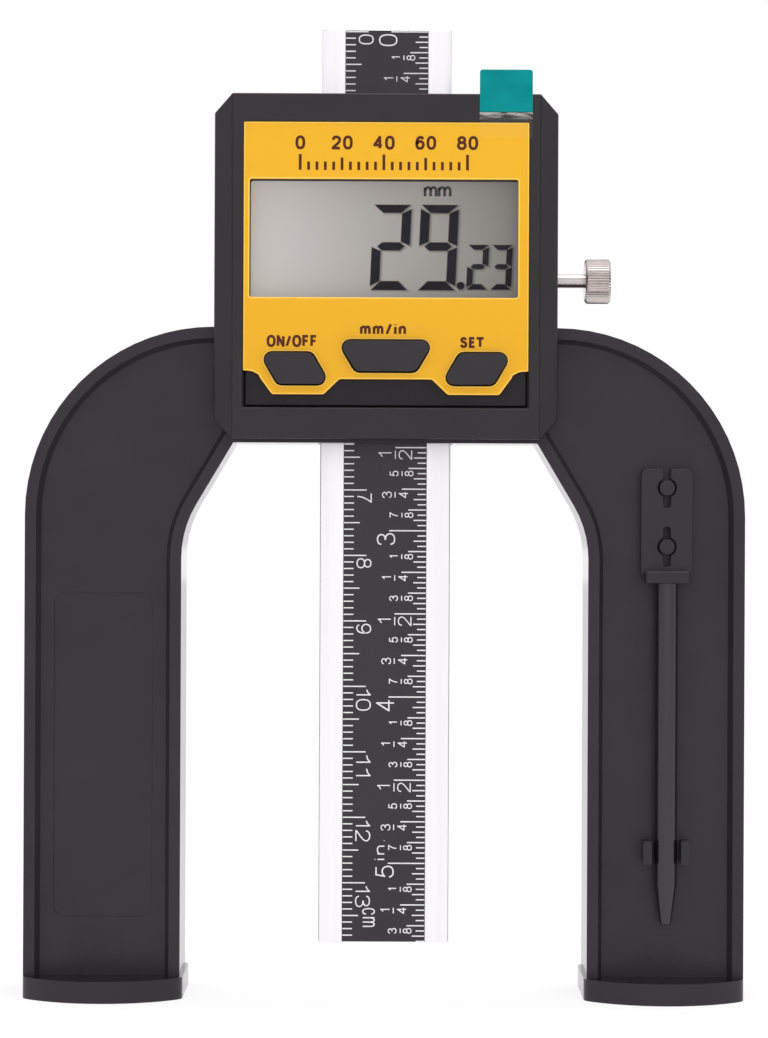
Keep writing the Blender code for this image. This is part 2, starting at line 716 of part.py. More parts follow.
def plate_outline():
    """The yellow face: square at the top, with two lobes round the outer buttons below."""
    half = FACE_HALF - FIT_GAP
    middle = UNITS_BUTTON_Z - UNITS_BUTTON_HEIGHT / 2 - PLATE_MIDDLE_RIM
    lobe = SIDE_BUTTON_Z - SIDE_BUTTON_HEIGHT / 2 - PLATE_LOBE_RIM
    right = [
        (UNITS_BUTTON_WIDTH / 2 + PLATE_MIDDLE_REACH, middle),
        (SIDE_BUTTON_X - PLATE_LOBE_INNER_REACH, lobe),
        (SIDE_BUTTON_X + PLATE_LOBE_OUTER_REACH, lobe),
        (SIDE_BUTTON_X + PLATE_SHOULDER_REACH, SIDE_BUTTON_Z - PLATE_SHOULDER_DROP),
        (half, SIDE_BUTTON_Z - PLATE_SIDE_DROP),
        (half, FACE_TOP - FIT_GAP),
    ]
    return rounded(mirrored(right), PLATE_CORNER)


# Places of the small fasteners


def cover_screw_places():
    low, high = HEAD_BOTTOM + COVER_SCREW_INSET, HEAD_TOP - COVER_SCREW_INSET
    return [(side * (HEAD_HALF - COVER_SCREW_INSET), z) for z in (low, high) for side in (-1, 1)]


def board_screw_places():
    x = BOARD_HALF - BOARD_SCREW_INSET
    low, high = BOARD_BOTTOM + BOARD_SCREW_INSET, BOARD_TOP - BOARD_SCREW_INSET
    return [(side * x, z) for z in (low, high) for side in (-1, 1)]


def magnet_places():
    shift = MAGNET_SPACING / 2
    return [side * FOOT_MIDDLE_X + step for side in (-1, 1) for step in (-shift, shift)]


# Arch


def arch_blank():
    """The arch before its head is hollowed: legs with a web between two trays, feet and what holds the probe."""
    arch = place("arch_body", prism([arch_outline()], RIM_FRONT, ARCH_BACK))
    trays = ((RIM_FRONT - CUT_OVERRUN, PANEL_FRONT), (PANEL_BACK, ARCH_BACK + CUT_OVERRUN))
    cut(arch, *[tray(side, low, high) for side in (-1, 1) for low, high in trays])
    join(arch, *[foot(side) for side in (-1, 1)])
    cut(arch, leg_label())
    join(arch, *probe_bosses(), *probe_prongs())
    return arch


def foot(side):
    solid = place("foot_shape", prism([foot_outline(side)], 0, FOOT_HEIGHT, "Z"), layer="cutters")
    soften(solid, FOOT_EDGE, ROUND_EDGE_STEPS, SHARP)
    return evaluated(solid)


def leg_label():
    """The shallow field on the left leg."""
    half = LEG_LABEL_WIDTH / 2
    low, high = LEG_LABEL_BOTTOM, LEG_LABEL_BOTTOM + LEG_LABEL_LENGTH
    corners = [(x - LEG_MIDDLE_X, z) for x, z in ((-half, low), (half, low), (half, high), (-half, high))]
    outline = rounded(corners, LEG_LABEL_RADIUS)
    return prism([outline], PANEL_FRONT - CUT_OVERRUN, PANEL_FRONT + LEG_LABEL_SINK)


def probe_bosses():
    front = PROBE_BACK - PROBE_PLATE_THICKNESS - PROBE_BOSS_PROUD
    back = PANEL_FRONT + WEB_THICKNESS / 2
    heights = (PROBE_UPPER_HOLE_Z, PROBE_LOWER_HOLE_Z)
    return [rod((PROBE_X, z), PROBE_BOSS_RADIUS, front, back, "Y", SMALL_SIDES) for z in heights]


def probe_prongs():
    inner = PROBE_ROD_RADIUS + PRONG_GAP
    low, high = PRONG_Z - PRONG_HEIGHT / 2, PRONG_Z + PRONG_HEIGHT / 2
    back = PANEL_FRONT + WEB_THICKNESS / 2
    made = []
    for side in (-1, 1):
        near, far = PROBE_X + side * inner, PROBE_X + side * (inner + PRONG_WIDTH)
        corners = [(near, low), (far, low), (far, high), (near, high)]
        made.append(prism([rounded(corners, PRONG_CORNER)], PANEL_FRONT - PRONG_LENGTH, back))
    return made


def channel():
    """The slot that the rule slides in, right through the head."""
    low = (-CHANNEL_HALF, CHANNEL_FRONT, BRIDGE_BOTTOM - CUT_OVERRUN)
    return box(low, (CHANNEL_HALF, CHANNEL_BACK, HEAD_TOP + CUT_OVERRUN))


def board_pocket():
    half = BOARD_HALF + FIT_GAP
    low = (-half, RIM_FRONT - CUT_OVERRUN, BOARD_BOTTOM - FIT_GAP)
    return box(low, (half, POCKET_FLOOR, BOARD_TOP + FIT_GAP))


def sensor_window():
    """The opening through which the board reads the strip."""
    half = CHANNEL_HALF - SENSOR_SIDE_WALL
    low = (-half, POCKET_FLOOR - CUT_OVERRUN, BOARD_BOTTOM + SENSOR_INSET)
    return box(low, (half, 0, BOARD_TOP - SENSOR_INSET))


def wells():
    """Hollows that lighten the block, split by a rib at the lock's height on both sides."""
    low, high = BOARD_BOTTOM + WELL_INSET, BOARD_TOP - WELL_INSET
    spans = ((low, LOCK_HEIGHT - WELL_RIB_HALF), (LOCK_HEIGHT + WELL_RIB_HALF, high))
    back = ARCH_BACK - WELL_FLOOR
    made = []
    for side in (-1, 1):
        left, right = sorted((side * WELL_INNER_X, side * WELL_OUTER_X))
        made += [box((left, POCKET_FLOOR - CUT_OVERRUN, a), (right, back, b)) for a, b in spans]
    return made


def spring_pocket():
    half = SPRING_WIDTH / 2 + SPRING_SIDE_GAP
    reach = SPRING_LENGTH / 2 + FIT_GAP
    low = (-SPRING_POCKET_X, -half, LOCK_HEIGHT - reach)
    return box(low, (-CHANNEL_HALF + CUT_OVERRUN, half, LOCK_HEIGHT + reach))


def lock_bores():
    centre = (0, LOCK_HEIGHT)
    pad = rod(centre, PAD_RADIUS + FIT_GAP / 2, 0, PAD_BORE_END_X, "X")
    shaft = rod(centre, SHAFT_RADIUS + FIT_GAP, 0, HEAD_HALF + CUT_OVERRUN, "X")
    start = HEAD_HALF - INSERT_SINK - INSERT_LENGTH - INSERT_FIT
    insert = rod(centre, INSERT_RADIUS + INSERT_FIT, start, HEAD_HALF + CUT_OVERRUN, "X")
    return [pad, shaft, insert]


def cell_pocket(low, high):
    """The round hole for the battery, with a notch above it for the contact on its rim."""
    top = CELL_Z + CELL_RADIUS + FIT_GAP + CONTACT_THICKNESS + CONTACT_SLOT_CLEARANCE
    half = CONTACT_WIDTH / 2 + CONTACT_SLOT_CLEARANCE
    return [
        rod((0, CELL_Z), CELL_RADIUS + CELL_CLEARANCE, low, high, "Y"),
        box((-half, low, CELL_Z), (half, high, top)),
    ]


def screw_holes(places, radius, low, high):
    return [rod(place_xz, radius, low, high, "Y", SMALL_SIDES) for place_xz in places]


def magnet_pockets():
    depth = MAGNET_SINK + MAGNET_THICKNESS + FIT_GAP
    radius = MAGNET_RADIUS + FIT_GAP
    return [rod((x, 0), radius, -CUT_OVERRUN, depth, "Z") for x in magnet_places()]


def make_arch():
    arch = arch_blank()
    cut(arch, channel(), board_pocket(), sensor_window(), *wells(), spring_pocket(), *lock_bores())
    cut(arch, *cell_pocket(CELL_FLOOR, ARCH_BACK + CUT_OVERRUN))
    through = COVER_SCREW_RADIUS + SCREW_CLEARANCE
    low, high = RIM_FRONT - CUT_OVERRUN, ARCH_BACK + CUT_OVERRUN
    cut(arch, *screw_holes(cover_screw_places(), through, low, high))
    blind = POCKET_FLOOR + BOARD_SCREW_LENGTH
    into = BOARD_SCREW_RADIUS + SCREW_CLEARANCE
    cut(arch, *screw_holes(board_screw_places(), into, POCKET_FLOOR - CUT_OVERRUN, blind))
    cut(arch, *magnet_pockets())
    finish(arch, BLACK_PLASTIC)


def make_magnets():
    for number, x in enumerate(magnet_places(), 1):
        disc = rod((x, 0), MAGNET_RADIUS, MAGNET_SINK, MAGNET_SINK + MAGNET_THICKNESS, "Z")
        finish(place(f"foot_magnet_{number}", disc, (x, 0, MAGNET_SINK)), NICKEL)


# Head


def bevelled_block():
    """The head's front block: its outline seen from the front, and the bevel of its two long sides."""
    side = HEAD_HALF + CUT_OVERRUN
    crease = HEAD_HALF - BEVEL_WIDTH
    slope = BEVEL_DEPTH / BEVEL_WIDTH
    plan = [(side, SHELL_BACK), (side, HEAD_FRONT + (side - crease) * slope), (crease, HEAD_FRONT)]
    solid = prism([mirrored(plan)], HEAD_BOTTOM - CUT_OVERRUN, HEAD_TOP + CUT_OVERRUN, "Z")
    block = place("head_shell", solid)
    front = square(HEAD_HALF, HEAD_BOTTOM, HEAD_TOP, HEAD_CHAMFER)
    keep = prism([front], HEAD_FRONT - CUT_OVERRUN, SHELL_BACK + CUT_OVERRUN)
    shape_with(block, keep, "INTERSECT")
    return block


def make_head_shell():
    shell = bevelled_block()
    wall_chamfer = HEAD_CHAMFER - HEAD_WALL * (2 - math.sqrt(2))
    hollow = square(HEAD_HALF - HEAD_WALL, HEAD_BOTTOM + HEAD_WALL, HEAD_TOP - HEAD_WALL, wall_chamfer)
    cut(shell, prism([hollow], SHELL_INNER, SHELL_BACK + CUT_OVERRUN))
    root, top = SHELL_INNER - HEAD_WALL / 2, SHELL_BACK - BOND_GAP
    join(shell, *screw_holes(cover_screw_places(), BOSS_RADIUS, root, top))
    recess = square(FACE_HALF, FACE_BOTTOM, FACE_TOP, PLATE_CORNER)
    cut(shell, prism([recess], HEAD_FRONT - CUT_OVERRUN, FACE_FLOOR))
    pane_floor = PANE_BACK + BOND_GAP
    cut(shell, prism([window_outline(WINDOW_LAP + FIT_GAP)], FACE_FLOOR - CUT_OVERRUN, pane_floor))
    cut(shell, prism([window_outline()], FACE_FLOOR - CUT_OVERRUN, SHELL_INNER + CUT_OVERRUN))
    for outline, _ in BUTTONS.values():
        cut(shell, prism([outline(BUTTON_CLEARANCE)], FACE_FLOOR - CUT_OVERRUN, SHELL_INNER + CUT_OVERRUN))
    bore = COVER_SCREW_RADIUS + SCREW_CLEARANCE
    tip = SHELL_INNER - HEAD_WALL + COVER_SCREW_TIP_WALL + BOND_GAP
    cut(shell, *screw_holes(cover_screw_places(), bore, tip, SHELL_BACK + CUT_OVERRUN))
    finish(shell, BLACK_PLASTIC)


def make_face_plate():
    holes = [outline(BUTTON_CLEARANCE) for outline, _ in BUTTONS.values()]
    mesh = prism([plate_outline(), window_outline(), *holes], PLATE_FRONT, PLATE_BACK)
    finish(place("face_plate", mesh, (0, PLATE_BACK, FACE_BOTTOM)), YELLOW_PLASTIC)


def make_display():
    pane = prism([window_outline(WINDOW_LAP)], PANE_FRONT, PANE_BACK)
    centre_z = (WINDOW_BOTTOM + WINDOW_TOP) / 2
    finish(place("display_window", pane, (0, PANE_BACK, centre_z)), CLEAR_PLASTIC)
    half, low, high = WINDOW_HALF + LCD_LAP, WINDOW_BOTTOM - LCD_LAP, WINDOW_TOP + LCD_LAP
    glass = box((-half, LCD_FRONT, low), (half, LCD_BACK, high))
    finish(place("lcd_panel", glass, (0, LCD_BACK, centre_z)), LCD_GLASS)
    for name, edge, up in (("lower", low, 1), ("upper", high, -1)):
        bottom, top = sorted((edge + up * FIT_GAP, edge + up * (FIT_GAP + CONNECTOR_HEIGHT)))
        reach = BOARD_HALF - CONNECTOR_END_GAP
        strip = box((-reach, LCD_BACK + FIT_GAP, bottom), (reach, BOARD_FRONT - FIT_GAP, top))
        finish(place(f"lcd_connector_{name}", strip, (0, BOARD_FRONT, bottom)), CONNECTOR_RUBBER)


def make_board():
    half = BOARD_HALF
    corners = [(-half, BOARD_BOTTOM), (half, BOARD_BOTTOM), (half, BOARD_TOP), (-half, BOARD_TOP)]
    holes = [
        arc(point, BOARD_SCREW_RADIUS + SCREW_CLEARANCE, 0, math.tau)[:-1] for point in board_screw_places()
    ]
    board = prism([rounded(corners, BOARD_CORNER), *holes], BOARD_FRONT, BOARD_BACK)
    finish(place("circuit_board", board, (0, BOARD_BACK, BOARD_BOTTOM)), BOARD_GREEN)
    half = CHIP_SIZE / 2
    chip = box(
        (-half, BOARD_FRONT - FIT_GAP - CHIP_THICKNESS, CHIP_Z - half),
        (half, BOARD_FRONT - FIT_GAP, CHIP_Z + half),
    )
    finish(place("controller_chip", chip, (0, BOARD_FRONT, CHIP_Z)), CHIP_BLACK)


def screw_blank(name, point, head_back, head_height, head_radius, shaft_radius, tip, facing):
    """A pan-head screw along Y with a cross slot; facing is -1 if its head looks to the front, else 1."""
    x, z = point
    seat = head_back
    top = seat + facing * head_height
    low, high = sorted((seat, top))
    body = place(name, rod(point, head_radius, low, high, "Y", SMALL_SIDES), (x, seat, z))
    low, high = sorted((seat + facing * head_height / 2, tip))
    join(body, rod(point, shaft_radius, low, high, "Y", SMALL_SIDES))
    half, long_half = SCREW_SLOT_WIDTH / 2, head_radius * SCREW_SLOT_SHARE
    low, high = sorted((top - facing * SCREW_SLOT_DEPTH, top + facing * CUT_OVERRUN))
    cut(
        body,
        box((x - half, low, z - long_half), (x + half, high, z + long_half)),
        box((x - long_half, low, z - half), (x + long_half, high, z + half)),
    )
    return finish(body, NICKEL)


def make_screws():
    seat = HEAD_REAR - COVER_SCREW_SINK - COVER_SCREW_HEAD_HEIGHT
    tip = SHELL_INNER - HEAD_WALL + COVER_SCREW_TIP_WALL + BOND_GAP + FIT_GAP
    for number, point in enumerate(cover_screw_places(), 1):
        screw_blank(
            f"cover_screw_{number}",
            point,
            seat,
            COVER_SCREW_HEAD_HEIGHT,
            COVER_SCREW_HEAD_RADIUS,
            COVER_SCREW_RADIUS,
            tip,
            1,
        )
    for number, point in enumerate(board_screw_places(), 1):
        screw_blank(
            f"board_screw_{number}",
            point,
            BOARD_FRONT - FIT_GAP,
            BOARD_SCREW_HEAD_HEIGHT,
            BOARD_SCREW_HEAD_RADIUS,
            BOARD_SCREW_RADIUS,
            POCKET_FLOOR + BOARD_SCREW_LENGTH - FIT_GAP,
            -1,
        )


# Buttons and switches


def make_button(name):
    outline, (x, z) = BUTTONS[name]
    axis = joint_origin(f"button_{name}_axis", (x, BUTTON_FRONT, z))
    flange_front = SHELL_INNER + FIT_GAP
    block = prism([outline()], BUTTON_FRONT, flange_front + BOND_GAP)
    cap = place(f"button_{name}", block, (x, BUTTON_FRONT, z), axis)
    soften(cap, BUTTON_EDGE, ROUND_EDGE_STEPS, SHARP)
    flange = prism([outline(BUTTON_FLANGE)], flange_front, flange_front + BUTTON_FLANGE_THICKNESS)
    root = flange_front + BUTTON_FLANGE_THICKNESS / 2
    stem = rod((x, z), BUTTON_STEM_RADIUS, root, STEM_BACK, "Y", SMALL_SIDES)
    join(cap, flange, stem)
    finish(cap, BUTTON_PLASTIC)
    plunger = rod((x, z), PLUNGER_RADIUS, PLUNGER_FRONT, PLUNGER_BACK, "Y", SMALL_SIDES)
    finish(place(f"plunger_{name}", plunger, (x, PLUNGER_FRONT, z), axis), CHIP_BLACK)


def make_switch(name):
    _, (x, z) = BUTTONS[name]
    half = SWITCH_SIZE / 2
    body = box((x - half, SWITCH_FRONT, z - half), (x + half, SWITCH_BACK, z + half))
    switch = place(f"switch_{name}", body, (x, SWITCH_BACK, z))
    bore_radius = PLUNGER_RADIUS + FIT_GAP
    bore_floor = SWITCH_FRONT + PLUNGER_BORE_DEPTH
    cut(switch, rod((x, z), bore_radius, SWITCH_FRONT - CUT_OVERRUN, bore_floor, "Y", SMALL_SIDES))
    finish(switch, NICKEL)


# Rule


def rule_section():
    """The beam's section seen from above, with its front edges bevelled."""
    half = RULE_WIDTH / 2
    right = [
        (half - RULE_BEVEL_WIDTH, RULE_FRONT),
        (half, RULE_FRONT + RULE_BEVEL_DEPTH),
        (half, RULE_BACK - RULE_CORNER),
        (half - RULE_CORNER, RULE_BACK),
    ]
    return mirrored(right)


def make_rule():
    slide = joint_origin("rule_slide_axis", (0, 0, RULE_TIP_HEIGHT))
    bar = prism([rule_section()], RULE_TIP_HEIGHT, RULE_TOP, "Z")
    beam = place("rule_beam", bar, (0, 0, RULE_TIP_HEIGHT), slide)
    pins = (("upper", STOP_PIN_UPPER_Z), ("lower", STOP_PIN_LOWER_Z))
    floor = RULE_BACK - STOP_PIN_DEPTH
    radius = STOP_PIN_RADIUS + BOND_GAP
    cut(beam, *[rod((0, z), radius, floor, RULE_BACK + CUT_OVERRUN, "Y", SMALL_SIDES) for _, z in pins])
    finish(beam, STEEL)
    half = RULE_WIDTH / 2 - STRIP_MARGIN
    low, high = RULE_TIP_HEIGHT + STRIP_END_GAP, RULE_TOP - STRIP_END_GAP
    strip = box((-half, STRIP_FRONT, low), (half, STRIP_BACK, high))
    finish(place("scale_strip", strip, (0, STRIP_BACK, RULE_TIP_HEIGHT), slide), SCALE_BLACK)
    for name, z in pins:
        pin = rod((0, z), STOP_PIN_RADIUS, floor + BOND_GAP, RULE_BACK + STOP_PIN_PROUD, "Y", SMALL_SIDES)
        finish(place(f"stop_pin_{name}", pin, (0, RULE_BACK, z), slide), NICKEL)


def make_guide_spring():
    """A bowed leaf whose middle stands next to the rule's left edge and whose ends rest in the pocket."""
    half = SPRING_LENGTH / 2
    radius = (half**2 + SPRING_BOW**2) / (2 * SPRING_BOW)
    spread = math.asin(half / radius)
    crest = -CHANNEL_HALF
    centre = (crest - radius, LOCK_HEIGHT)
    outer = arc(centre, radius, -spread, spread)
    inner = arc(centre, radius - SPRING_THICKNESS, spread, -spread)
    leaf = prism([outer + inner], -SPRING_WIDTH / 2, SPRING_WIDTH / 2)
    finish(place("guide_spring", leaf, (crest, 0, LOCK_HEIGHT)), BRASS)


# Lock


def make_lock():
    pad_axis = joint_origin("lock_slide_axis", (PAD_FRONT_X, 0, LOCK_HEIGHT))
    pad = rod((0, LOCK_HEIGHT), PAD_RADIUS, PAD_FRONT_X, PAD_BACK_X, "X")
    finish(place("lock_pad", pad, (PAD_FRONT_X, 0, LOCK_HEIGHT), pad_axis), BRASS)
    end = HEAD_HALF - INSERT_SINK
    start = end - INSERT_LENGTH
    bush = rod((0, LOCK_HEIGHT), INSERT_RADIUS, start, end, "X")
    insert = place("lock_insert", bush, (end, 0, LOCK_HEIGHT))
    cut(insert, rod((0, LOCK_HEIGHT), SHAFT_RADIUS + INSERT_FIT, start - CUT_OVERRUN, end + CUT_OVERRUN, "X"))
    finish(insert, BRASS)
    make_lock_screw()


def make_lock_screw():
    """The thumb screw: a profile from the knob's middle to the shaft's tip, turned about its own axis."""
    knob_end = KNOB_INNER_X + KNOB_LENGTH
    profile = [
        (0, knob_end - KNOB_HUB_SINK),
        (KNOB_HUB_RADIUS, knob_end - KNOB_HUB_SINK),
        (KNOB_HUB_RADIUS, knob_end),
        (KNOB_RADIUS - KNOB_CHAMFER, knob_end),
        (KNOB_RADIUS, knob_end - KNOB_CHAMFER),
        (KNOB_RADIUS, KNOB_INNER_X + KNOB_CHAMFER),
        (KNOB_RADIUS - KNOB_CHAMFER, KNOB_INNER_X),
        (SHAFT_RADIUS, KNOB_INNER_X),
        (SHAFT_RADIUS, SHAFT_TIP_X),
        (0, SHAFT_TIP_X),
    ]

    def trace(work):
        points = [work.verts.new((radius, 0, along)) for radius, along in profile]
        for first, second in zip(points, points[1:]):
            work.edges.new((first, second))

    turn = joint_origin("lock_turn_axis", (0, 0, LOCK_HEIGHT))
    turn.rotation_euler = (0, math.pi / 2, 0)
    screw = bpy.data.objects.new("lock_screw", mesh_from(trace))
    COLLECTIONS["depth_gauge"].objects.link(screw)
    screw.parent = turn
    turned = screw.modifiers.new("turned", "SCREW")
    turned.axis = "Z"
    turned.steps = ROUND_SIDES
    turned.render_steps = ROUND_SIDES
    turned.use_merge_vertices = True
    turned.merge_threshold = MERGE_GAP
    turned.use_smooth_shade = False
    finish(screw, NICKEL)


# Battery


def hatch_section(low, high, gap=0):
    """The hatch seen from above, a plate with a thin rail at either side; gap widens it all round."""
    half = HATCH_HALF_WIDTH + gap
    rail_back = HATCH_FRONT + HATCH_RAIL_THICKNESS + gap
    right = [(half + HATCH_RAIL, low), (half + HATCH_RAIL, rail_back), (half, rail_back), (half, high)]
    return mirrored(right)


def make_rear_cover():
    outline = square(HEAD_HALF, HEAD_BOTTOM, HEAD_TOP, HEAD_CHAMFER)
    cover = place("rear_cover", prism([outline], REAR_FRONT, HEAD_REAR), (0, REAR_FRONT, HEAD_BOTTOM))
    low, high = REAR_FRONT - CUT_OVERRUN, HEAD_REAR + CUT_OVERRUN
    cut(cover, *cell_pocket(low, high))
    way = hatch_section(HATCH_FRONT - FIT_GAP, high, FIT_GAP)
    top = HEAD_BOTTOM + HATCH_HEIGHT + FIT_GAP
    cut(cover, prism([way], HEAD_BOTTOM - CUT_OVERRUN, top, "Z"))
    cut(cover, *screw_holes(cover_screw_places(), COVER_SCREW_RADIUS + SCREW_CLEARANCE, low, high))
    sink = HEAD_REAR - COVER_SCREW_SINK - COVER_SCREW_HEAD_HEIGHT - FIT_GAP
    head = COVER_SCREW_HEAD_RADIUS + SCREW_CLEARANCE
    cut(cover, *screw_holes(cover_screw_places(), head, sink, high))
    finish(cover, BLACK_PLASTIC)


def make_battery_cover():
    axis = joint_origin("battery_cover_axis", (0, HATCH_FRONT, HEAD_BOTTOM))
    section = hatch_section(HATCH_FRONT, HEAD_REAR)
    plate = prism([section], HEAD_BOTTOM, HEAD_BOTTOM + HATCH_HEIGHT, "Z")
    hatch = place("battery_cover", plate, (0, HATCH_FRONT, HEAD_BOTTOM), axis)
    half = HATCH_GRIP_WIDTH / 2
    for step in range(HATCH_GRIP_COUNT):
        low = HEAD_BOTTOM + HATCH_GRIP_PITCH * (step + 1)
        high = low + HATCH_GRIP_HEIGHT
        cut(hatch, box((-half, HEAD_REAR - HATCH_GRIP_SINK, low), (half, HEAD_REAR + CUT_OVERRUN, high)))
    finish(hatch, BLACK_PLASTIC)


def make_battery():
    disc = rod((0, CELL_Z), CELL_RADIUS, CELL_FRONT, CELL_BACK, "Y")
    cell = place("battery_cell", disc, (0, CELL_BACK, CELL_Z))
    soften(cell, CELL_EDGE, 1, BLUNT)
    finish(cell, NICKEL)
    half = CONTACT_WIDTH / 2
    reach = CONTACT_LENGTH / 2
    back = NEGATIVE_FRONT + CONTACT_THICKNESS
    leaf = box((-half, NEGATIVE_FRONT, CELL_Z - reach), (half, back, CELL_Z + reach))
    finish(place("contact_negative", leaf, (0, NEGATIVE_FRONT, CELL_Z)), BRASS)
    rim = CELL_Z + CELL_RADIUS + FIT_GAP
    strip = box((-half, NEGATIVE_FRONT, rim), (half, CELL_BACK, rim + CONTACT_THICKNESS))
    finish(place("contact_positive", strip, (0, NEGATIVE_FRONT, rim)), BRASS)


# Stored probe


def probe_plate_outline():
    half = PROBE_PLATE_WIDTH / 2
    low = PROBE_PLATE_BOTTOM - PROBE_NECK_LAP
    corners = [
        (PROBE_X - half, low),
        (PROBE_X + half, low),
        (PROBE_X + half, PROBE_TOP),
        (PROBE_X - half, PROBE_TOP),
    ]
    return rounded(corners, [0, 0, PROBE_PLATE_CORNER, PROBE_PLATE_CORNER])


def probe_rod():
    """The round rod, tapered to its tip, which reaches a little way into the neck."""
    top = PROBE_NECK_BOTTOM + PROBE_NECK_LAP
    straight = rod((PROBE_X, PROBE_ROD_Y), PROBE_ROD_RADIUS, PROBE_TIP_Z, top, "Z")
    shoulder = PROBE_TIP_Z + PROBE_TAPER_LENGTH
    tip_share = PROBE_TIP_RADIUS / PROBE_ROD_RADIUS

    def taper(work):
        work.from_mesh(straight)
        everything = [*work.verts, *work.edges, *work.faces]
        bmesh.ops.bisect_plane(work, geom=everything, plane_co=(0, 0, shoulder), plane_no=(0, 0, 1))
        for vert in work.verts:
            if vert.co.z < shoulder - MERGE_GAP:
                vert.co.x = PROBE_X + (vert.co.x - PROBE_X) * tip_share
                vert.co.y = PROBE_ROD_Y + (vert.co.y - PROBE_ROD_Y) * tip_share

    return mesh_from(taper)


def make_probe():
    plate_front = PROBE_BACK - PROBE_PLATE_THICKNESS
    neck_front = PROBE_ROD_Y - PROBE_ROD_RADIUS - PROBE_NECK_PROUD
    axis = joint_origin("probe_lift_axis", (PROBE_X, PROBE_BACK, PROBE_PLATE_BOTTOM))
    plate = prism([probe_plate_outline()], plate_front, PROBE_BACK)
    probe = place("depth_probe", plate, (PROBE_X, PROBE_BACK, PROBE_PLATE_BOTTOM), axis)
    half = PROBE_NECK_WIDTH / 2
    low = (PROBE_X - half, neck_front, PROBE_NECK_BOTTOM)
    neck = box(low, (PROBE_X + half, PROBE_BACK - BOND_GAP, PROBE_PLATE_BOTTOM))
    join(probe, neck, probe_rod())
    slot_half = PROBE_SLOT_WIDTH / 2
    front, back = neck_front - CUT_OVERRUN, PROBE_BACK + CUT_OVERRUN
    slots = (
        (PROBE_UPPER_HOLE_Z - PROBE_SLOT_REACH, PROBE_TOP + CUT_OVERRUN),
        (PROBE_LOWER_HOLE_Z - PROBE_SLOT_REACH, PROBE_LOWER_HOLE_Z + PROBE_SLOT_REACH),
    )
    for z, (low, high) in zip((PROBE_UPPER_HOLE_Z, PROBE_LOWER_HOLE_Z), slots):
        cut(probe, rod((PROBE_X, z), PROBE_HOLE_RADIUS, front, back, "Y", SMALL_SIDES))
        near, far = PROBE_X - slot_half, PROBE_X + slot_half
        corners = rounded([(near, low), (far, low), (far, high), (near, high)], PROBE_SLOT_CORNER)
        cut(probe, prism([corners], front, back))
    finish(probe, BLACK_PLASTIC)


# Film


def make_film():
    back = HEAD_FRONT - BOND_GAP
    front = back - FILM_THICKNESS
    left, right = FILM_X - FILM_WIDTH / 2, FILM_X + FILM_WIDTH / 2
    seam = FILM_TAB_BOTTOM
    film = box((left, front, FILM_BOTTOM), (right, back, seam - BOND_GAP))
    finish(place("protective_film", film, (FILM_X, back, seam)), CLEAR_PLASTIC)
    top = seam + FILM_TAB_HEIGHT
    corners = [(left, seam), (right, seam), (right, top), (left, top)]
    tab = prism([rounded(corners, [0, 0, FILM_TAB_CORNER, FILM_TAB_CORNER])], front, back)
    finish(place("film_tab", tab, (FILM_X, back, seam)), TEAL_FILM)


def main():
    make_arch()
    make_magnets()
    make_head_shell()
    make_face_plate()
    make_display()
    make_board()
    make_screws()
    for name in BUTTONS:
        make_switch(name)
        make_button(name)
    make_rule()
    make_guide_spring()
    make_lock()
    make_rear_cover()
    make_battery_cover()
    make_battery()
    make_probe()
    make_film()
    bpy.context.view_layer.update()


main()
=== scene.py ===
"""Looks of a digital depth gauge: a moulded arch, its display head, and the rule that slides in it."""

import logging
import math
from collections.abc import Callable, Iterable, Iterator, Sequence
from contextlib import contextmanager
from dataclasses import dataclass
from enum import Enum
from typing import ClassVar

import bmesh
import bpy
from mathutils import Matrix, Vector


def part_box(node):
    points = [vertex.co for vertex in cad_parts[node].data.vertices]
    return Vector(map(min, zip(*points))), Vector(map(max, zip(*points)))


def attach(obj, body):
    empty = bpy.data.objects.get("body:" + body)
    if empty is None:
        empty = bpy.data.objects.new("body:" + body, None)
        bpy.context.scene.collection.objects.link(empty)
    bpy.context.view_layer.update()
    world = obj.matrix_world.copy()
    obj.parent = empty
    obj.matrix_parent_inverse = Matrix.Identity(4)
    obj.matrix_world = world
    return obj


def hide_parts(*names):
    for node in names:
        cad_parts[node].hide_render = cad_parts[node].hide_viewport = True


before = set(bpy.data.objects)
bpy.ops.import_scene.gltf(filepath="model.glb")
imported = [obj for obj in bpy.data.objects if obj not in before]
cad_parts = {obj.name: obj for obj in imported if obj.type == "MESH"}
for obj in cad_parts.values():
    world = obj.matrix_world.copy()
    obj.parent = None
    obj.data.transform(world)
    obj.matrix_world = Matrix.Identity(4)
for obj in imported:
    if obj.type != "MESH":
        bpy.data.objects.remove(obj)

LOG = logging.getLogger("depth_gauge")
MM = 0.001
INCH = 25.4
TWIN = 0.002 * MM
Point = tuple[float, float]
Row = tuple[float, int, float, Sequence[tuple[int, float]]]
Piece = bpy.types.Object
Mesh = bpy.types.Mesh
Tree = bpy.types.NodeTree
Socket = bpy.types.NodeSocket
Shape = bmesh.types.BMesh


# Small tools


def linear(code: str) -> tuple[float, float, float, float]:
    """Turns an sRGB hex colour into the linear colour that a shader takes.

    Args:
        code: Six hex digits, with or without a leading hash.

    Returns:
        The colour as red, green, blue and an alpha of one.
    """
    parts = [int(code.lstrip("#")[i:i + 2], 16) / 255 for i in (0, 2, 4)]
    return (*[p / 12.92 if p <= 0.04045 else ((p + 0.055) / 1.055) ** 2.4 for p in parts], 1.0)


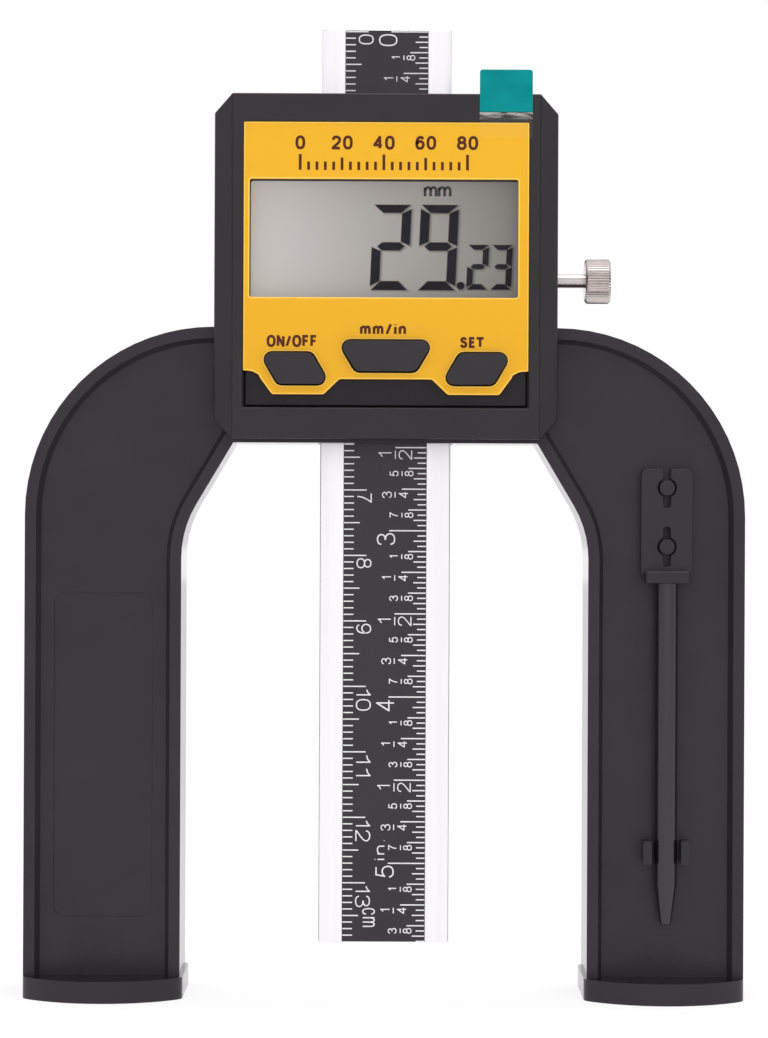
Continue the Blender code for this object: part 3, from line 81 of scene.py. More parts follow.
def add(tree: Tree, kind: str, inputs: dict | None = None, **settings: object) -> bpy.types.Node:
    """Adds a node with its settings, input values and links.

    Args:
        tree: The node tree that gets the node.
        kind: The node's type.
        inputs: A value or an output socket for each input, by name or place.
        settings: Properties of the node.

    Returns:
        The new node.
    """
    node = tree.nodes.new(kind)
    for name, value in settings.items():
        setattr(node, name, value)
    for key, value in (inputs or {}).items():
        if isinstance(value, Socket):
            tree.links.new(value, node.inputs[key])
        else:
            node.inputs[key].default_value = value
    return node


def fresh_tree(material: bpy.types.Material) -> Tree:
    """Empties a new material's node tree and returns it."""
    material.use_nodes = True
    material.node_tree.nodes.clear()
    return material.node_tree


def mesh_object(name: str, mesh: Mesh) -> Piece:
    """Links a mesh to the scene as an object at the origin."""
    made = bpy.data.objects.new(name, mesh)
    bpy.context.scene.collection.objects.link(made)
    return made


def from_bmesh(name: str, shape: Shape) -> Piece:
    """Writes a bmesh to a new object and frees it."""
    mesh = bpy.data.meshes.new(name)
    shape.to_mesh(mesh)
    shape.free()
    return mesh_object(name, mesh)


def baked(made: Piece) -> Piece:
    """Turns an object's modifiers into plain mesh, and removes them."""
    graph = bpy.context.evaluated_depsgraph_get()
    graph.update()
    mesh = bpy.data.meshes.new_from_object(made.evaluated_get(graph))
    made.modifiers.clear()
    made.data = mesh
    return made


@contextmanager
def edited(made: Piece) -> Iterator[Shape]:
    """Opens a piece's mesh for editing, and writes it back at the end."""
    shape = bmesh.new()
    shape.from_mesh(made.data)
    yield shape
    shape.to_mesh(made.data)
    shape.free()


def smooth(made: Piece, angle: float) -> None:
    """Shades a piece smooth, and keeps the edges that turn more than an angle in degrees sharp."""
    with edited(made) as shape:
        for face in shape.faces:
            face.smooth = True
        for edge in shape.edges:
            edge.smooth = len(edge.link_faces) == 2 and edge.calc_face_angle(0) < math.radians(angle)


def rounded(made: Piece, width: float, steps: int = 2, angle: float = 28, even: bool = False) -> Piece:
    """Rounds a piece's sharp edges, as a mould or a file leaves them.

    Args:
        made: The piece.
        width: How far the rounding reaches from the edge, in millimetres.
        steps: Faces across the rounding.
        angle: Edges that turn less than this, in degrees, stay as they are.
        even: True keeps the full width everywhere; otherwise the shortest edges limit it.

    Returns:
        The same piece, with the rounding in its mesh.
    """
    smooth(made, angle)
    bevel = made.modifiers.new("rounding", "BEVEL")
    bevel.width = width * MM
    bevel.segments = steps
    bevel.limit_method = "ANGLE"
    bevel.angle_limit = math.radians(angle)
    bevel.use_clamp_overlap = not even
    bevel.miter_outer = "MITER_ARC"
    flat = made.modifiers.new("normals", "WEIGHTED_NORMAL")
    flat.weight, flat.keep_sharp = 100, True
    return baked(made)


def cad_copy(node: str) -> Piece:
    """Copies a CAD node's solid, with its loose triangles merged into whole faces.

    Args:
        node: The CAD node, whose name the copy takes with an ending.

    Returns:
        The copy, which isn't bound to a body yet.
    """
    flat_enough = math.radians(0.6)
    shape = bmesh.new()
    shape.from_mesh(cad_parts[node].data)
    bmesh.ops.remove_doubles(shape, verts=shape.verts, dist=TWIN)
    bmesh.ops.dissolve_limit(shape, angle_limit=flat_enough, verts=shape.verts, edges=shape.edges)
    made = from_bmesh(f"{node}_moulding", shape)
    made.data.materials.clear()
    return made


def squared(made: Piece, half: float, levels: Iterable[float], back: float) -> None:
    """Draws the small cuts or arcs at a rectangle's corners out into sharp corners.

    Args:
        made: The piece.
        half: Half the rectangle's width, in millimetres; it is centred on the object's middle.
        levels: The z of each side whose two corners are drawn out.
        back: Only what lies in front of this y is moved.
    """
    reach, slack = 0.52, 0.02
    with edited(made) as shape:
        for vert in shape.verts:
            x, y, z = vert.co / MM
            for level in levels:
                if y < back and half - reach < abs(x) < half + slack and abs(z - level) < reach:
                    vert.co.x, vert.co.z = math.copysign(half, x) * MM, level * MM
        bmesh.ops.remove_doubles(shape, verts=shape.verts, dist=TWIN)


def prism(loop: Sequence[Point], low: float, high: float) -> Shape:
    """Extrudes an outline, given as x and z in millimetres, along y.

    Args:
        loop: The outline's corners.
        low: Where the prism starts along y, in millimetres.
        high: Where it ends.

    Returns:
        A closed bmesh in metres, its faces outwards.
    """
    shape = bmesh.new()
    rings = [[shape.verts.new((x * MM, y * MM, z * MM)) for x, z in loop] for y in (low, high)]
    shape.faces.new(rings[0])
    shape.faces.new(list(reversed(rings[1])))
    for i, corner in enumerate(rings[0]):
        after = (i + 1) % len(loop)
        shape.faces.new((corner, rings[1][i], rings[1][after], rings[0][after]))
    bmesh.ops.recalc_face_normals(shape, faces=shape.faces)
    return shape


def skinned(rings: Iterable[Iterable[Sequence[float]]]) -> Shape:
    """Joins rings of as many points each, in millimetres, into a closed bmesh with its faces outwards."""
    shape = bmesh.new()
    loops = [[shape.verts.new(Vector(spot) * MM) for spot in ring] for ring in rings]
    for a, b in zip(loops, loops[1:]):
        for i, corner in enumerate(a):
            after = (i + 1) % len(a)
            shape.faces.new((corner, b[i], b[after], a[after]))
    shape.faces.new(loops[0])
    shape.faces.new(list(reversed(loops[-1])))
    bmesh.ops.recalc_face_normals(shape, faces=shape.faces)
    return shape


def circle(centre: Point, radius: float, sides: int = 48) -> list[Point]:
    """The corners of a circle, as x and z in millimetres."""
    turns = [2 * math.pi * i / sides for i in range(sides)]
    return [(centre[0] + radius * math.cos(t), centre[1] + radius * math.sin(t)) for t in turns]


def joined(name: str, shapes: Iterable[Shape | Mesh]) -> Piece:
    """Joins several shapes into one object, and frees them."""
    whole = bmesh.new()
    for shape in shapes:
        if isinstance(shape, Shape):
            mesh = bpy.data.meshes.new("part")
            shape.to_mesh(mesh)
            shape.free()
            shape = mesh
        whole.from_mesh(shape)
        bpy.data.meshes.remove(shape)
    return from_bmesh(name, whole)


# Finishes


@dataclass(frozen=True)
class Finish:
    """A finish: what the surface is made of, and how it was made.

    Each kind builds its own nodes in paint; material makes it once and hands out the same one after that.
    """

    name: str
    slot: str

    def material(self) -> bpy.types.Material:
        """Returns the finish's material, made on the first call."""
        found = bpy.data.materials.get(self.name)
        if found is None:
            found = bpy.data.materials.new(self.name)
            self.paint(fresh_tree(found))
        return found

    def paint(self, tree: Tree) -> None:
        """Builds the finish's nodes; each kind of finish has its own."""
        raise NotImplementedError

    def place(self, tree: Tree, stretch: Sequence[float] = (1, 1, 1)) -> Socket:
        """The place on the object in metres, stretched along each axis."""
        spot = add(tree, "ShaderNodeTexCoord").outputs["Object"]
        return add(tree, "ShaderNodeMapping", {"Vector": spot, "Scale": stretch}).outputs["Vector"]

    def noise(self, tree: Tree, size: float, detail: float = 2,
              stretch: Sequence[float] = (1, 1, 1)) -> Socket:
        """Soft noise whose blots are about a size in millimetres across."""
        values = {"Vector": self.place(tree, stretch), "Scale": 1 / (size * MM), "Detail": detail}
        return add(tree, "ShaderNodeTexNoise", values).outputs["Fac"]

    def between(self, tree: Tree, factor: Socket, low: object, high: object,
                start: float = 0.3, end: float = 0.7) -> Socket:
        """Runs from one number or hex colour to another as a factor goes from start to end."""
        if isinstance(low, str):
            span = add(tree, "ShaderNodeMapRange", {"Value": factor, "From Min": start, "From Max": end})
            mix = add(tree, "ShaderNodeMix", data_type="RGBA")
            tree.links.new(span.outputs[0], mix.inputs[0])
            mix.inputs[6].default_value, mix.inputs[7].default_value = linear(low), linear(high)
            return mix.outputs[2]
        values = {"Value": factor, "From Min": start, "From Max": end, "To Min": low, "To Max": high}
        return add(tree, "ShaderNodeMapRange", values).outputs[0]

    def bump(self, tree: Tree, height: Socket, depth: float, strength: float) -> Socket:
        """A bump of a depth in millimetres."""
        values = {"Height": height, "Distance": depth * MM, "Strength": strength}
        return add(tree, "ShaderNodeBump", values).outputs["Normal"]

    def surface(self, tree: Tree, values: dict[str, object]) -> None:
        """Joins the Principled shader with the given inputs to the output."""
        shader = add(tree, "ShaderNodeBsdfPrincipled", values)
        add(tree, "ShaderNodeOutputMaterial", {"Surface": shader.outputs[0]})


@dataclass(frozen=True)
class MouldedPlastic(Finish):
    """Black or coloured ABS, injection moulded against a spark-eroded steel mould.

    The eye gets a dull surface with a fine grain, softly uneven gloss, and flow clouds about a centimetre
    wide. Seen at a glancing angle it turns into a mirror, as a fine grain does. The real grain, of some
    0.05 mm, is too fine to show, and is drawn a few times as coarse.
    """

    dark: str = "#141114"
    light: str = "#1b181b"
    gloss: float = 0.42
    grain: float = 0.22
    depth: float = 0.0015
    index: float = 1.5
    glancing: float = 0.12
    cloud: float = 14
    patch: float = 4

    def paint(self, tree: Tree) -> None:
        """Clouds in the colour, grain in the bump, and patches in the gloss."""
        clouds = self.noise(tree, self.cloud, 3)
        grain = self.noise(tree, self.grain, 4)
        patches = self.noise(tree, self.patch, 2)
        away = add(tree, "ShaderNodeLayerWeight", {"Blend": 0.5}).outputs["Facing"]
        share = self.between(tree, away, 0.0, 1.0, 0.55, 0.92)
        rough = self.between(tree, patches, self.gloss - 0.04, self.gloss + 0.05)
        self.surface(tree, {
            "Base Color": self.between(tree, clouds, self.dark, self.light),
            "Roughness": add(tree, "ShaderNodeMix", {0: share, 2: rough, 3: self.glancing}).outputs[0],
            "Normal": self.bump(tree, grain, self.depth, 0.6),
            "IOR": self.index,
            "Specular Tint": linear("#fff5ff"),
        })


@dataclass(frozen=True)
class PrintedSheet(Finish):
    """A printed polyester face sheet: the eye gets a satin colour, slightly darker towards its foot."""

    top: str = "#e8ad1e"
    bottom: str = "#e2a61a"
    gloss: float = 0.42
    low: float = 92
    high: float = 132
    mottle: float = 3.5
    peel: float = 0.5

    def paint(self, tree: Tree) -> None:
        """A slow gradient up the sheet, print mottle, and a fine orange-peel in the gloss coat."""
        spot = add(tree, "ShaderNodeTexCoord").outputs["Object"]
        height = add(tree, "ShaderNodeSeparateXYZ", {"Vector": spot}).outputs["Z"]
        mottle = self.noise(tree, self.mottle, 3)
        shifted = add(tree, "ShaderNodeMath", {0: mottle, 1: 0.012, 2: height}, operation="MULTIPLY_ADD")
        colour = self.between(tree, shifted.outputs[0], self.bottom, self.top, self.low * MM, self.high * MM)
        peel = self.noise(tree, self.peel, 2)
        self.surface(tree, {
            "Base Color": colour,
            "Roughness": self.between(tree, mottle, self.gloss - 0.03, self.gloss + 0.04),
            "Normal": self.bump(tree, peel, 0.002, 0.5),
            "IOR": 1.36,
        })


@dataclass(frozen=True)
class Ink(Finish):
    """Screen-printed or etched-and-filled ink, dull and very slightly uneven."""

    colour: str = "#5a2410"
    thin: str = "#6a3016"
    gloss: float = 0.55
    blot: float = 0.3

    def paint(self, tree: Tree) -> None:
        """Uneven cover, as squeezed ink has."""
        cover = self.noise(tree, self.blot, 2)
        self.surface(tree, {
            "Base Color": self.between(tree, cover, self.colour, self.thin),
            "Roughness": self.between(tree, cover, self.gloss, self.gloss + 0.1),
            "Specular IOR Level": 0.25,
        })


@dataclass(frozen=True)
class DrawnSteel(Finish):
    """Stainless bar, drawn and then brushed along its length.

    The eye gets a bright bar with soft lines along it. Its brush marks, of some 0.03 mm, are too fine to
    show, and are drawn three times as wide.
    """

    bright: str = "#fbf9fb"
    dull: str = "#f4f2f4"
    gloss: float = 0.34
    line: float = 0.09
    along: Sequence[float] = (1, 1, 0.012)
    band: float = 1.4

    def paint(self, tree: Tree) -> None:
        """Wide bands in the colour, and fine lines in the gloss and the bump."""
        lines = self.noise(tree, self.line, 3, stretch=self.along)
        wide = self.noise(tree, self.band, 2, stretch=self.along)
        self.surface(tree, {
            "Base Color": self.between(tree, wide, self.dull, self.bright),
            "Metallic": 1.0,
            "Roughness": self.between(tree, lines, self.gloss - 0.05, self.gloss + 0.08),
            "Normal": self.bump(tree, lines, 0.0015, 0.5),
        })


@dataclass(frozen=True)
class PlatedMetal(Finish):
    """Turned brass or steel with a thin plating.

    The eye gets a soft shine that is a little uneven. The tool's marks are too fine to show, and are drawn as
    a tooth of 0.08 mm.
    """

    bright: str = "#d3cbc8"
    dull: str = "#c6bdba"
    gloss: float = 0.27
    patch: float = 1.2
    tooth: float = 0.08

    def paint(self, tree: Tree) -> None:
        """Uneven plating, with a fine bump left by the tool."""
        patches = self.noise(tree, self.patch, 3)
        fine = self.noise(tree, self.tooth, 2)
        self.surface(tree, {
            "Base Color": self.between(tree, patches, self.dull, self.bright),
            "Metallic": 1.0,
            "Roughness": self.between(tree, patches, self.gloss - 0.05, self.gloss + 0.07),
            "Normal": self.bump(tree, fine, 0.0015, 0.5),
        })


@dataclass(frozen=True)
class DisplayGlass(Finish):
    """The rear polariser of a liquid crystal display: a warm grey, with a painted reflection that makes it
    paler towards its left, and a painted glow, as if lit from the front, though it is no lamp.
    """

    # painted reflection: paler at the left, darker at the right
    left: str = "#c5c0bd"
    middle: str = "#a19d99"
    right: str = "#7b7874"
    half_width: float = 20
    # painted light: how strongly the display glows, as if lit from the front
    glow: float = 0.45
    grain: float = 0.12

    def paint(self, tree: Tree) -> None:
        """A painted reflection: a slow change of grey across the display, with a faint foil grain, and a
        painted glow in the same grey.
        """
        spot = add(tree, "ShaderNodeTexCoord").outputs["Object"]
        across = add(tree, "ShaderNodeSeparateXYZ", {"Vector": spot})
        reach = self.half_width * MM
        span = {"Value": across.outputs["X"], "From Min": -reach, "From Max": reach}
        part = add(tree, "ShaderNodeMapRange", span)
        ramp = add(tree, "ShaderNodeValToRGB", {0: part.outputs[0]})
        ramp.color_ramp.elements[0].color = linear(self.left)
        ramp.color_ramp.elements[1].color = linear(self.right)
        ramp.color_ramp.elements.new(0.5).color = linear(self.middle)
        foil = self.noise(tree, self.grain, 2)
        matt = add(tree, "ShaderNodeHueSaturation", {"Color": ramp.outputs[0], "Value": 1 - self.glow})
        self.surface(tree, {
            "Base Color": matt.outputs[0],
            # painted light: the display glows in its painted-reflection grey
            "Emission Color": ramp.outputs[0],
            "Emission Strength": self.glow,
            "Roughness": self.between(tree, foil, 0.55, 0.62),
            "Normal": self.bump(tree, foil, 0.0006, 0.3),
        })


@dataclass(frozen=True)
class FadedInk(Finish):
    """What a display darkens: almost black, and soft at its borders, which an attribute called fade gives."""

    colour: str = "#1e1c22"
    cover: float = 1.0
    thin: str = "#24222a"
    blot: float = 0.8

    def paint(self, tree: Tree) -> None:
        """Dark where the attribute is one, and see-through where it is zero."""
        fade = add(tree, "ShaderNodeAttribute", attribute_name="fade").outputs["Fac"]
        mottle = self.noise(tree, self.blot, 2)
        cover = add(tree, "ShaderNodeMath", {0: fade, 1: self.cover}, operation="MULTIPLY").outputs[0]
        self.surface(tree, {
            "Base Color": self.between(tree, mottle, self.colour, self.thin),
            "Roughness": 0.5,
            "Specular IOR Level": 0.1,
            "Alpha": cover,
        })


@dataclass(frozen=True)
class ClearSheet(Finish):
    """A clear acrylic pane or film: almost nothing but its gloss shows."""

    tint: str = "#ffffff"
    cover: float = 0.06
    gloss: float = 0.08
    streak: float = 1.5

    def paint(self, tree: Tree) -> None:
        """A faint tint with a soft waviness in the gloss."""
        waves = self.noise(tree, self.streak, 2)
        self.surface(tree, {
            "Base Color": linear(self.tint),
            "Roughness": self.between(tree, waves, self.gloss, self.gloss + 0.06),
            "Normal": self.bump(tree, waves, 0.004, 0.4),
            "Alpha": self.cover,
        })


@dataclass(frozen=True)
class CreasedFilm(ClearSheet):
    """A thin clear film that is creased white beside its pull tab."""

    crease: float = 133.0
    spread: float = 0.7
    fold: float = 0.7

    def paint(self, tree: Tree) -> None:
        """Clear, but for fine creases that whiten it more the nearer they are to the tab."""
        spot = add(tree, "ShaderNodeTexCoord").outputs["Object"]
        height = add(tree, "ShaderNodeSeparateXYZ", {"Vector": spot}).outputs["Z"]
        low, high = (self.crease - self.spread) * MM, (self.crease + self.spread) * MM
        near = self.between(tree, height, 0.0, 1.0, low, high)
        lines = self.noise(tree, self.fold, 3, stretch=(0.3, 1, 1.6))
        white = self.between(tree, lines, 0.0, 0.42, 0.42, 0.62)
        shares = {0: near, 1: white, 2: self.cover}
        creased = add(tree, "ShaderNodeMath", shares, operation="MULTIPLY_ADD").outputs[0]
        self.surface(tree, {
            "Base Color": linear(self.tint),
            "Roughness": self.between(tree, lines, self.gloss, self.gloss + 0.1),
            "Normal": self.bump(tree, lines, 0.02, 0.5),
            "Alpha": creased,
        })


@dataclass(frozen=True)
class TintedFilm(Finish):
    """Polyester tape, coloured through: the eye gets a flat colour with soft streaks across it."""

    colour: str = "#028082"
    pale: str = "#0a8c8e"
    gloss: float = 0.3
    streak: float = 2.2
    dent: float = 1.1

    def paint(self, tree: Tree) -> None:
        """Streaks across the tape and small dents in its gloss."""
        streaks = self.noise(tree, self.streak, 3, stretch=(0.35, 1, 1))
        dents = self.noise(tree, self.dent, 2)
        self.surface(tree, {
            "Base Color": self.between(tree, streaks, self.colour, self.pale),
            "Roughness": self.between(tree, dents, self.gloss, self.gloss + 0.12),
            "Normal": self.bump(tree, dents, 0.01, 0.4),
            "Specular IOR Level": 0.06,
        })


@dataclass(frozen=True)
class Laminate(Finish):
    """Glass-fibre board with solder resist: its woven cloth shows through, with threads 0.5 mm apart."""

    dark: str = "#0f4a2a"
    light: str = "#17613a"
    thread: float = 0.5
    cloud: float = 5

    def paint(self, tree: Tree) -> None:
        """The weave of the cloth shows through the resist."""
        spot = self.place(tree)
        values = {"Vector": spot, "Scale": 1 / (self.thread * MM * 2 * math.pi)}
        weave = add(tree, "ShaderNodeTexWave", values, bands_direction="DIAGONAL").outputs["Fac"]
        cloud = self.noise(tree, self.cloud, 2)
        self.surface(tree, {
            "Base Color": self.between(tree, cloud, self.dark, self.light),
            "Roughness": self.between(tree, weave, 0.3, 0.45, 0, 1),
            "Normal": self.bump(tree, weave, 0.004, 0.4),
        })


class Finishes(Enum):
    """Every finish on the gauge."""

    ARCH = MouldedPlastic("arch_abs_spark_eroded", "black_plastic")
    # painted light: the trays' sloped walls in a paler copy of the arch's plastic
    DRAFT = MouldedPlastic("arch_abs_walls_painted_light", "black_plastic", "#262226", "#2c282c", 0.5)
    ROD = MouldedPlastic("probe_rod_abs_polished", "black_plastic", gloss=0.24, depth=0.001, index=1.62)
    HEAD = MouldedPlastic("head_abs_satin", "black_plastic", "#151214", "#1b181a", grain=0.16, index=1.48)
    RECESS = MouldedPlastic("cover_abs_satin", "black_plastic", "#111011", "#161516", grain=0.2, depth=0.002,
                            index=1.38)
    BUTTON = MouldedPlastic("button_rubberised_abs", "button_plastic", "#191719", "#1f1c1f", grain=0.12,
                            depth=0.003)
    CHIP = MouldedPlastic("chip_epoxy", "chip_black", "#171717", "#1f1f1f", 0.55, 0.1, 0.004)
    SHEET = PrintedSheet("face_sheet_printed_polyester", "yellow_plastic")
    # painted highlight: a paler yellow band along the plate's edges and openings
    SHEET_EDGE = PrintedSheet("face_sheet_painted_highlight", "yellow_plastic", "#ffcf5c", "#fbc650", 0.3)
    PRINT = Ink("face_print", "yellow_plastic", "#4a1c0c", "#582410")
    SCALE_PRINT = Ink("scale_print_white", "scale_black", "#dedcde", "#eeecee", 0.5)
    SCALE = MouldedPlastic("scale_lacquered_foil", "scale_black", "#1c1a1d", "#252226", 0.3, 0.3, 0.002)
    RULE = DrawnSteel("rule_stainless_brushed", "rule_steel")
    SCREW = PlatedMetal("lock_screw_nickel_plated", "nickel_plate")
    ZINC = PlatedMetal("small_screws_zinc_plated", "zinc_steel", "#c9cbd0", "#aeb1b8", 0.32)
    BRASS = PlatedMetal("insert_brass_turned", "brass", "#dcb869", "#c39b4c", 0.3)
    BRONZE = PlatedMetal("spring_phosphor_bronze", "bronze", "#d49a63", "#b87f4b", 0.33)
    CELL = DrawnSteel("cell_nickel_steel", "nickel_plate", "#d6d6d8", "#c6c6c9", 0.25, 0.12, (1, 1, 1))
    GLASS = DisplayGlass("display_polariser", "lcd_glass")
    DIGITS = FadedInk("display_digits", "lcd_glass")
    # painted shadow of the digits on the display behind them
    GHOST = FadedInk("display_digit_shadows", "lcd_glass", "#3d3b44", 0.32)
    WINDOW = ClearSheet("window_acrylic_clear", "clear_plastic", "#808080", 0.004)
    FILM = CreasedFilm("protective_film_clear", "clear_film", "#fffdf8", 0.01, 0.2, 0.9)
    TAB = TintedFilm("film_tab_tape", "teal_film")
    RUBBER = MouldedPlastic("connector_silicone_layered", "connector_rubber", "#6d6f73", "#7c7e82", 0.6,
                            0.1, 0.004)
    BOARD = Laminate("board_solder_resist", "board_green")

    def on(self, *pieces: Piece) -> None:
        """Gives pieces this finish, in place of any they had."""
        for piece in pieces:
            piece.data.materials.clear()
            piece.data.materials.append(self.value.material())

    def on_nodes(self, *names: str) -> None:
        """Gives CAD nodes, which keep their shapes, this finish."""
        self.on(*(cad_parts[name] for name in names))

    def also(self, piece: Piece, picked: Callable[[bpy.types.MeshPolygon], bool]) -> None:
        """Gives a piece this finish too, on the faces that a test picks."""
        piece.data.materials.append(self.value.material())
        for face in piece.data.polygons:
            face.material_index = int(picked(face))


def bind(piece: Piece, body: str, *nodes: str) -> None:
    """Binds a finished piece to its body, in place of the CAD nodes that it stands for, and reports it.

    Args:
        piece: The finished piece.
        body: The CAD body that it moves with.
        nodes: The CAD nodes that it replaces.
    """
    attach(piece, body)
    if nodes:
        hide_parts(*nodes)
    LOG.info("%-24s on %-14s %6d faces", piece.name, body, len(piece.data.polygons))


def settle(piece: Piece, finish: Finishes, body: str, *nodes: str) -> None:
    """Gives a piece its finish, and then binds it as bind does."""
    finish.on(piece)
    bind(piece, body, *nodes)


# Geometry-node tools


def group_inputs(tree: Tree, sockets: dict[str, str]) -> dict[str, str]:
    """Adds named inputs and one geometry output to a tree.

    Args:
        tree: The geometry tree.
        sockets: The kind of socket for each input name.

    Returns:
        The identifier that a modifier knows each input by.
    """
    new = tree.interface.new_socket
    new("Geometry", in_out="OUTPUT", socket_type="NodeSocketGeometry")
    return {name: new(name, in_out="INPUT", socket_type=kind).identifier for name, kind in sockets.items()}


def realized(tree: Tree, shapes: Socket, finish: Socket) -> None:
    """Ends a tree: its instances become real faces, with their finish on them."""
    shapes = add(tree, "GeometryNodeRealizeInstances", {"Geometry": shapes}).outputs[0]
    shapes = add(tree, "GeometryNodeSetMaterial", {"Geometry": shapes, "Material": finish}).outputs[0]
    add(tree, "NodeGroupOutput", {0: shapes})


def grown(name: str, tree: Tree, names: dict[str, str], values: dict[str, object]) -> Piece:
    """Runs a geometry tree and keeps its result as a plain mesh.

    Args:
        name: The new object's name.
        tree: The geometry tree.
        names: The identifier of each input.
        values: The value of each input.

    Returns:
        The object, with no modifier left on it.
    """
    made = mesh_object(name, bpy.data.meshes.new(name))
    modifier = made.modifiers.new("pattern", "NODES")
    modifier.node_group = tree
    for key, value in values.items():
        modifier[names[key]] = value
    return baked(made)


@dataclass
class TickRow:
    """A row of graduation lines that runs down a scale, some of them longer; sizes are in millimetres."""

    pitch: float
    count: int
    reach: float
    longer: Sequence[tuple[int, float]]
    line: float = 0.19
    thickness: float = 0.02
    finish: Finishes = Finishes.SCALE_PRINT

    def tree(self) -> tuple[Tree, dict[str, str]]:
        """Builds the tree: a line of points, and on each a bar whose length its place in the row gives.

        Returns:
            The tree, and the identifiers of its inputs.
        """
        tree = bpy.data.node_groups.new("graduation", "GeometryNodeTree")
        sockets = {"Count": "NodeSocketInt", "Pitch": "NodeSocketFloat", "Reach": "NodeSocketFloat",
                   "Line": "NodeSocketFloat", "Thickness": "NodeSocketFloat", "Finish": "NodeSocketMaterial"}
        for i in range(len(self.longer)):
            sockets |= {f"Every {i}": "NodeSocketInt", f"Longer by {i}": "NodeSocketFloat"}
        names = group_inputs(tree, sockets)
        given = add(tree, "NodeGroupInput").outputs
        down = add(tree, "ShaderNodeMath", {0: given["Pitch"], 1: -1.0}, operation="MULTIPLY").outputs[0]
        step = add(tree, "ShaderNodeCombineXYZ", {"Z": down}).outputs[0]
        row = add(tree, "GeometryNodeMeshLine", {"Count": given["Count"], "Offset": step}, mode="OFFSET")
        index = add(tree, "GeometryNodeInputIndex").outputs[0]
        reach = given["Reach"]
        for i in range(len(self.longer)):
            pair = {0: index, 1: given[f"Every {i}"]}
            rest = add(tree, "ShaderNodeMath", pair, operation="MODULO").outputs[0]
            hit = add(tree, "ShaderNodeMath", {0: rest, 1: 0.0, 2: 0.5}, operation="COMPARE").outputs[0]
            values = {0: hit, 1: given[f"Longer by {i}"], 2: reach}
            reach = add(tree, "ShaderNodeMath", values, operation="MULTIPLY_ADD").outputs[0]
        values = {"X": reach, "Y": given["Thickness"], "Z": given["Line"]}
        size = add(tree, "ShaderNodeCombineXYZ", values).outputs[0]
        bar = add(tree, "GeometryNodeMeshCube", {"Size": (1, 1, 1)}).outputs["Mesh"]
        bar = add(tree, "GeometryNodeTransform", {"Geometry": bar, "Translation": (0.5, 0, 0)}).outputs[0]
        values = {"Points": row.outputs[0], "Instance": bar, "Scale": size}
        bars = add(tree, "GeometryNodeInstanceOnPoints", values).outputs[0]
        realized(tree, bars, given["Finish"])
        return tree, names

    def mesh(self, start: Sequence[float], turn: float = 0) -> Mesh:
        """Makes the row.

        Args:
            start: The inner end of its first line, in millimetres.
            turn: How far the row is turned about y, in degrees; half a turn is made about z instead.

        Returns:
            The row's mesh, in place.
        """
        tree, names = self.tree()
        values = {"Count": self.count, "Pitch": self.pitch * MM, "Reach": self.reach * MM,
                  "Line": self.line * MM, "Thickness": self.thickness * MM,
                  "Finish": self.finish.value.material()}
        for i, (every, more) in enumerate(self.longer):
            values |= {f"Every {i}": every, f"Longer by {i}": more * MM}
        made = grown("graduation", tree, names, values)
        spin = Matrix.Rotation(math.radians(turn), 4, "Z" if turn == 180 else "Y")
        mesh = made.data
        mesh.transform(Matrix.Translation(Vector(start) * MM) @ spin)
        bpy.data.objects.remove(made)
        return mesh


def oval(centre: Point, wide: float, tall: float, power: float = 2.5, steps: int = 28) -> list[Point]:
    """A closed, slightly squared oval; it ends where it starts."""
    points = []
    for i in range(steps + 1):
        c, s = math.cos(2 * math.pi * i / steps), math.sin(2 * math.pi * i / steps)
        x, y = (math.copysign(abs(v) ** (2 / power), v) for v in (c, s))
        points.append((centre[0] + wide * x, centre[1] + tall * y))
    return points


def bent(points: Sequence[Point], steps: int = 5) -> list[Point]:
    """A smooth line through points, as a Catmull-Rom curve."""
    ends = [points[0], *points, points[-1]]
    made = [points[0]]
    for a, b, c, d in zip(ends, ends[1:], ends[2:], ends[3:]):
        for i in range(1, steps + 1):
            t = i / steps
            weights = (-t + 2 * t**2 - t**3, 2 - 5 * t**2 + 3 * t**3, t + 4 * t**2 - 3 * t**3, t**3 - t**2)
            made.append(tuple(sum(w * p[k] for w, p in zip(weights, (a, b, c, d))) / 2 for k in (0, 1)))
    return made


def plain_six() -> list[Point]:
    """The stroke of a six, which a nine turns upside down."""
    return bent([(0.56, 0.82), (0.49, 0.95), (0.33, 1), (0.13, 0.9), (0.02, 0.66), (0, 0.38), (0.06, 0.12),
                 (0.17, 0.02), (0.31, 0), (0.5, 0.07), (0.6, 0.31), (0.52, 0.54), (0.32, 0.63), (0.12, 0.55),
                 (0.01, 0.36)])


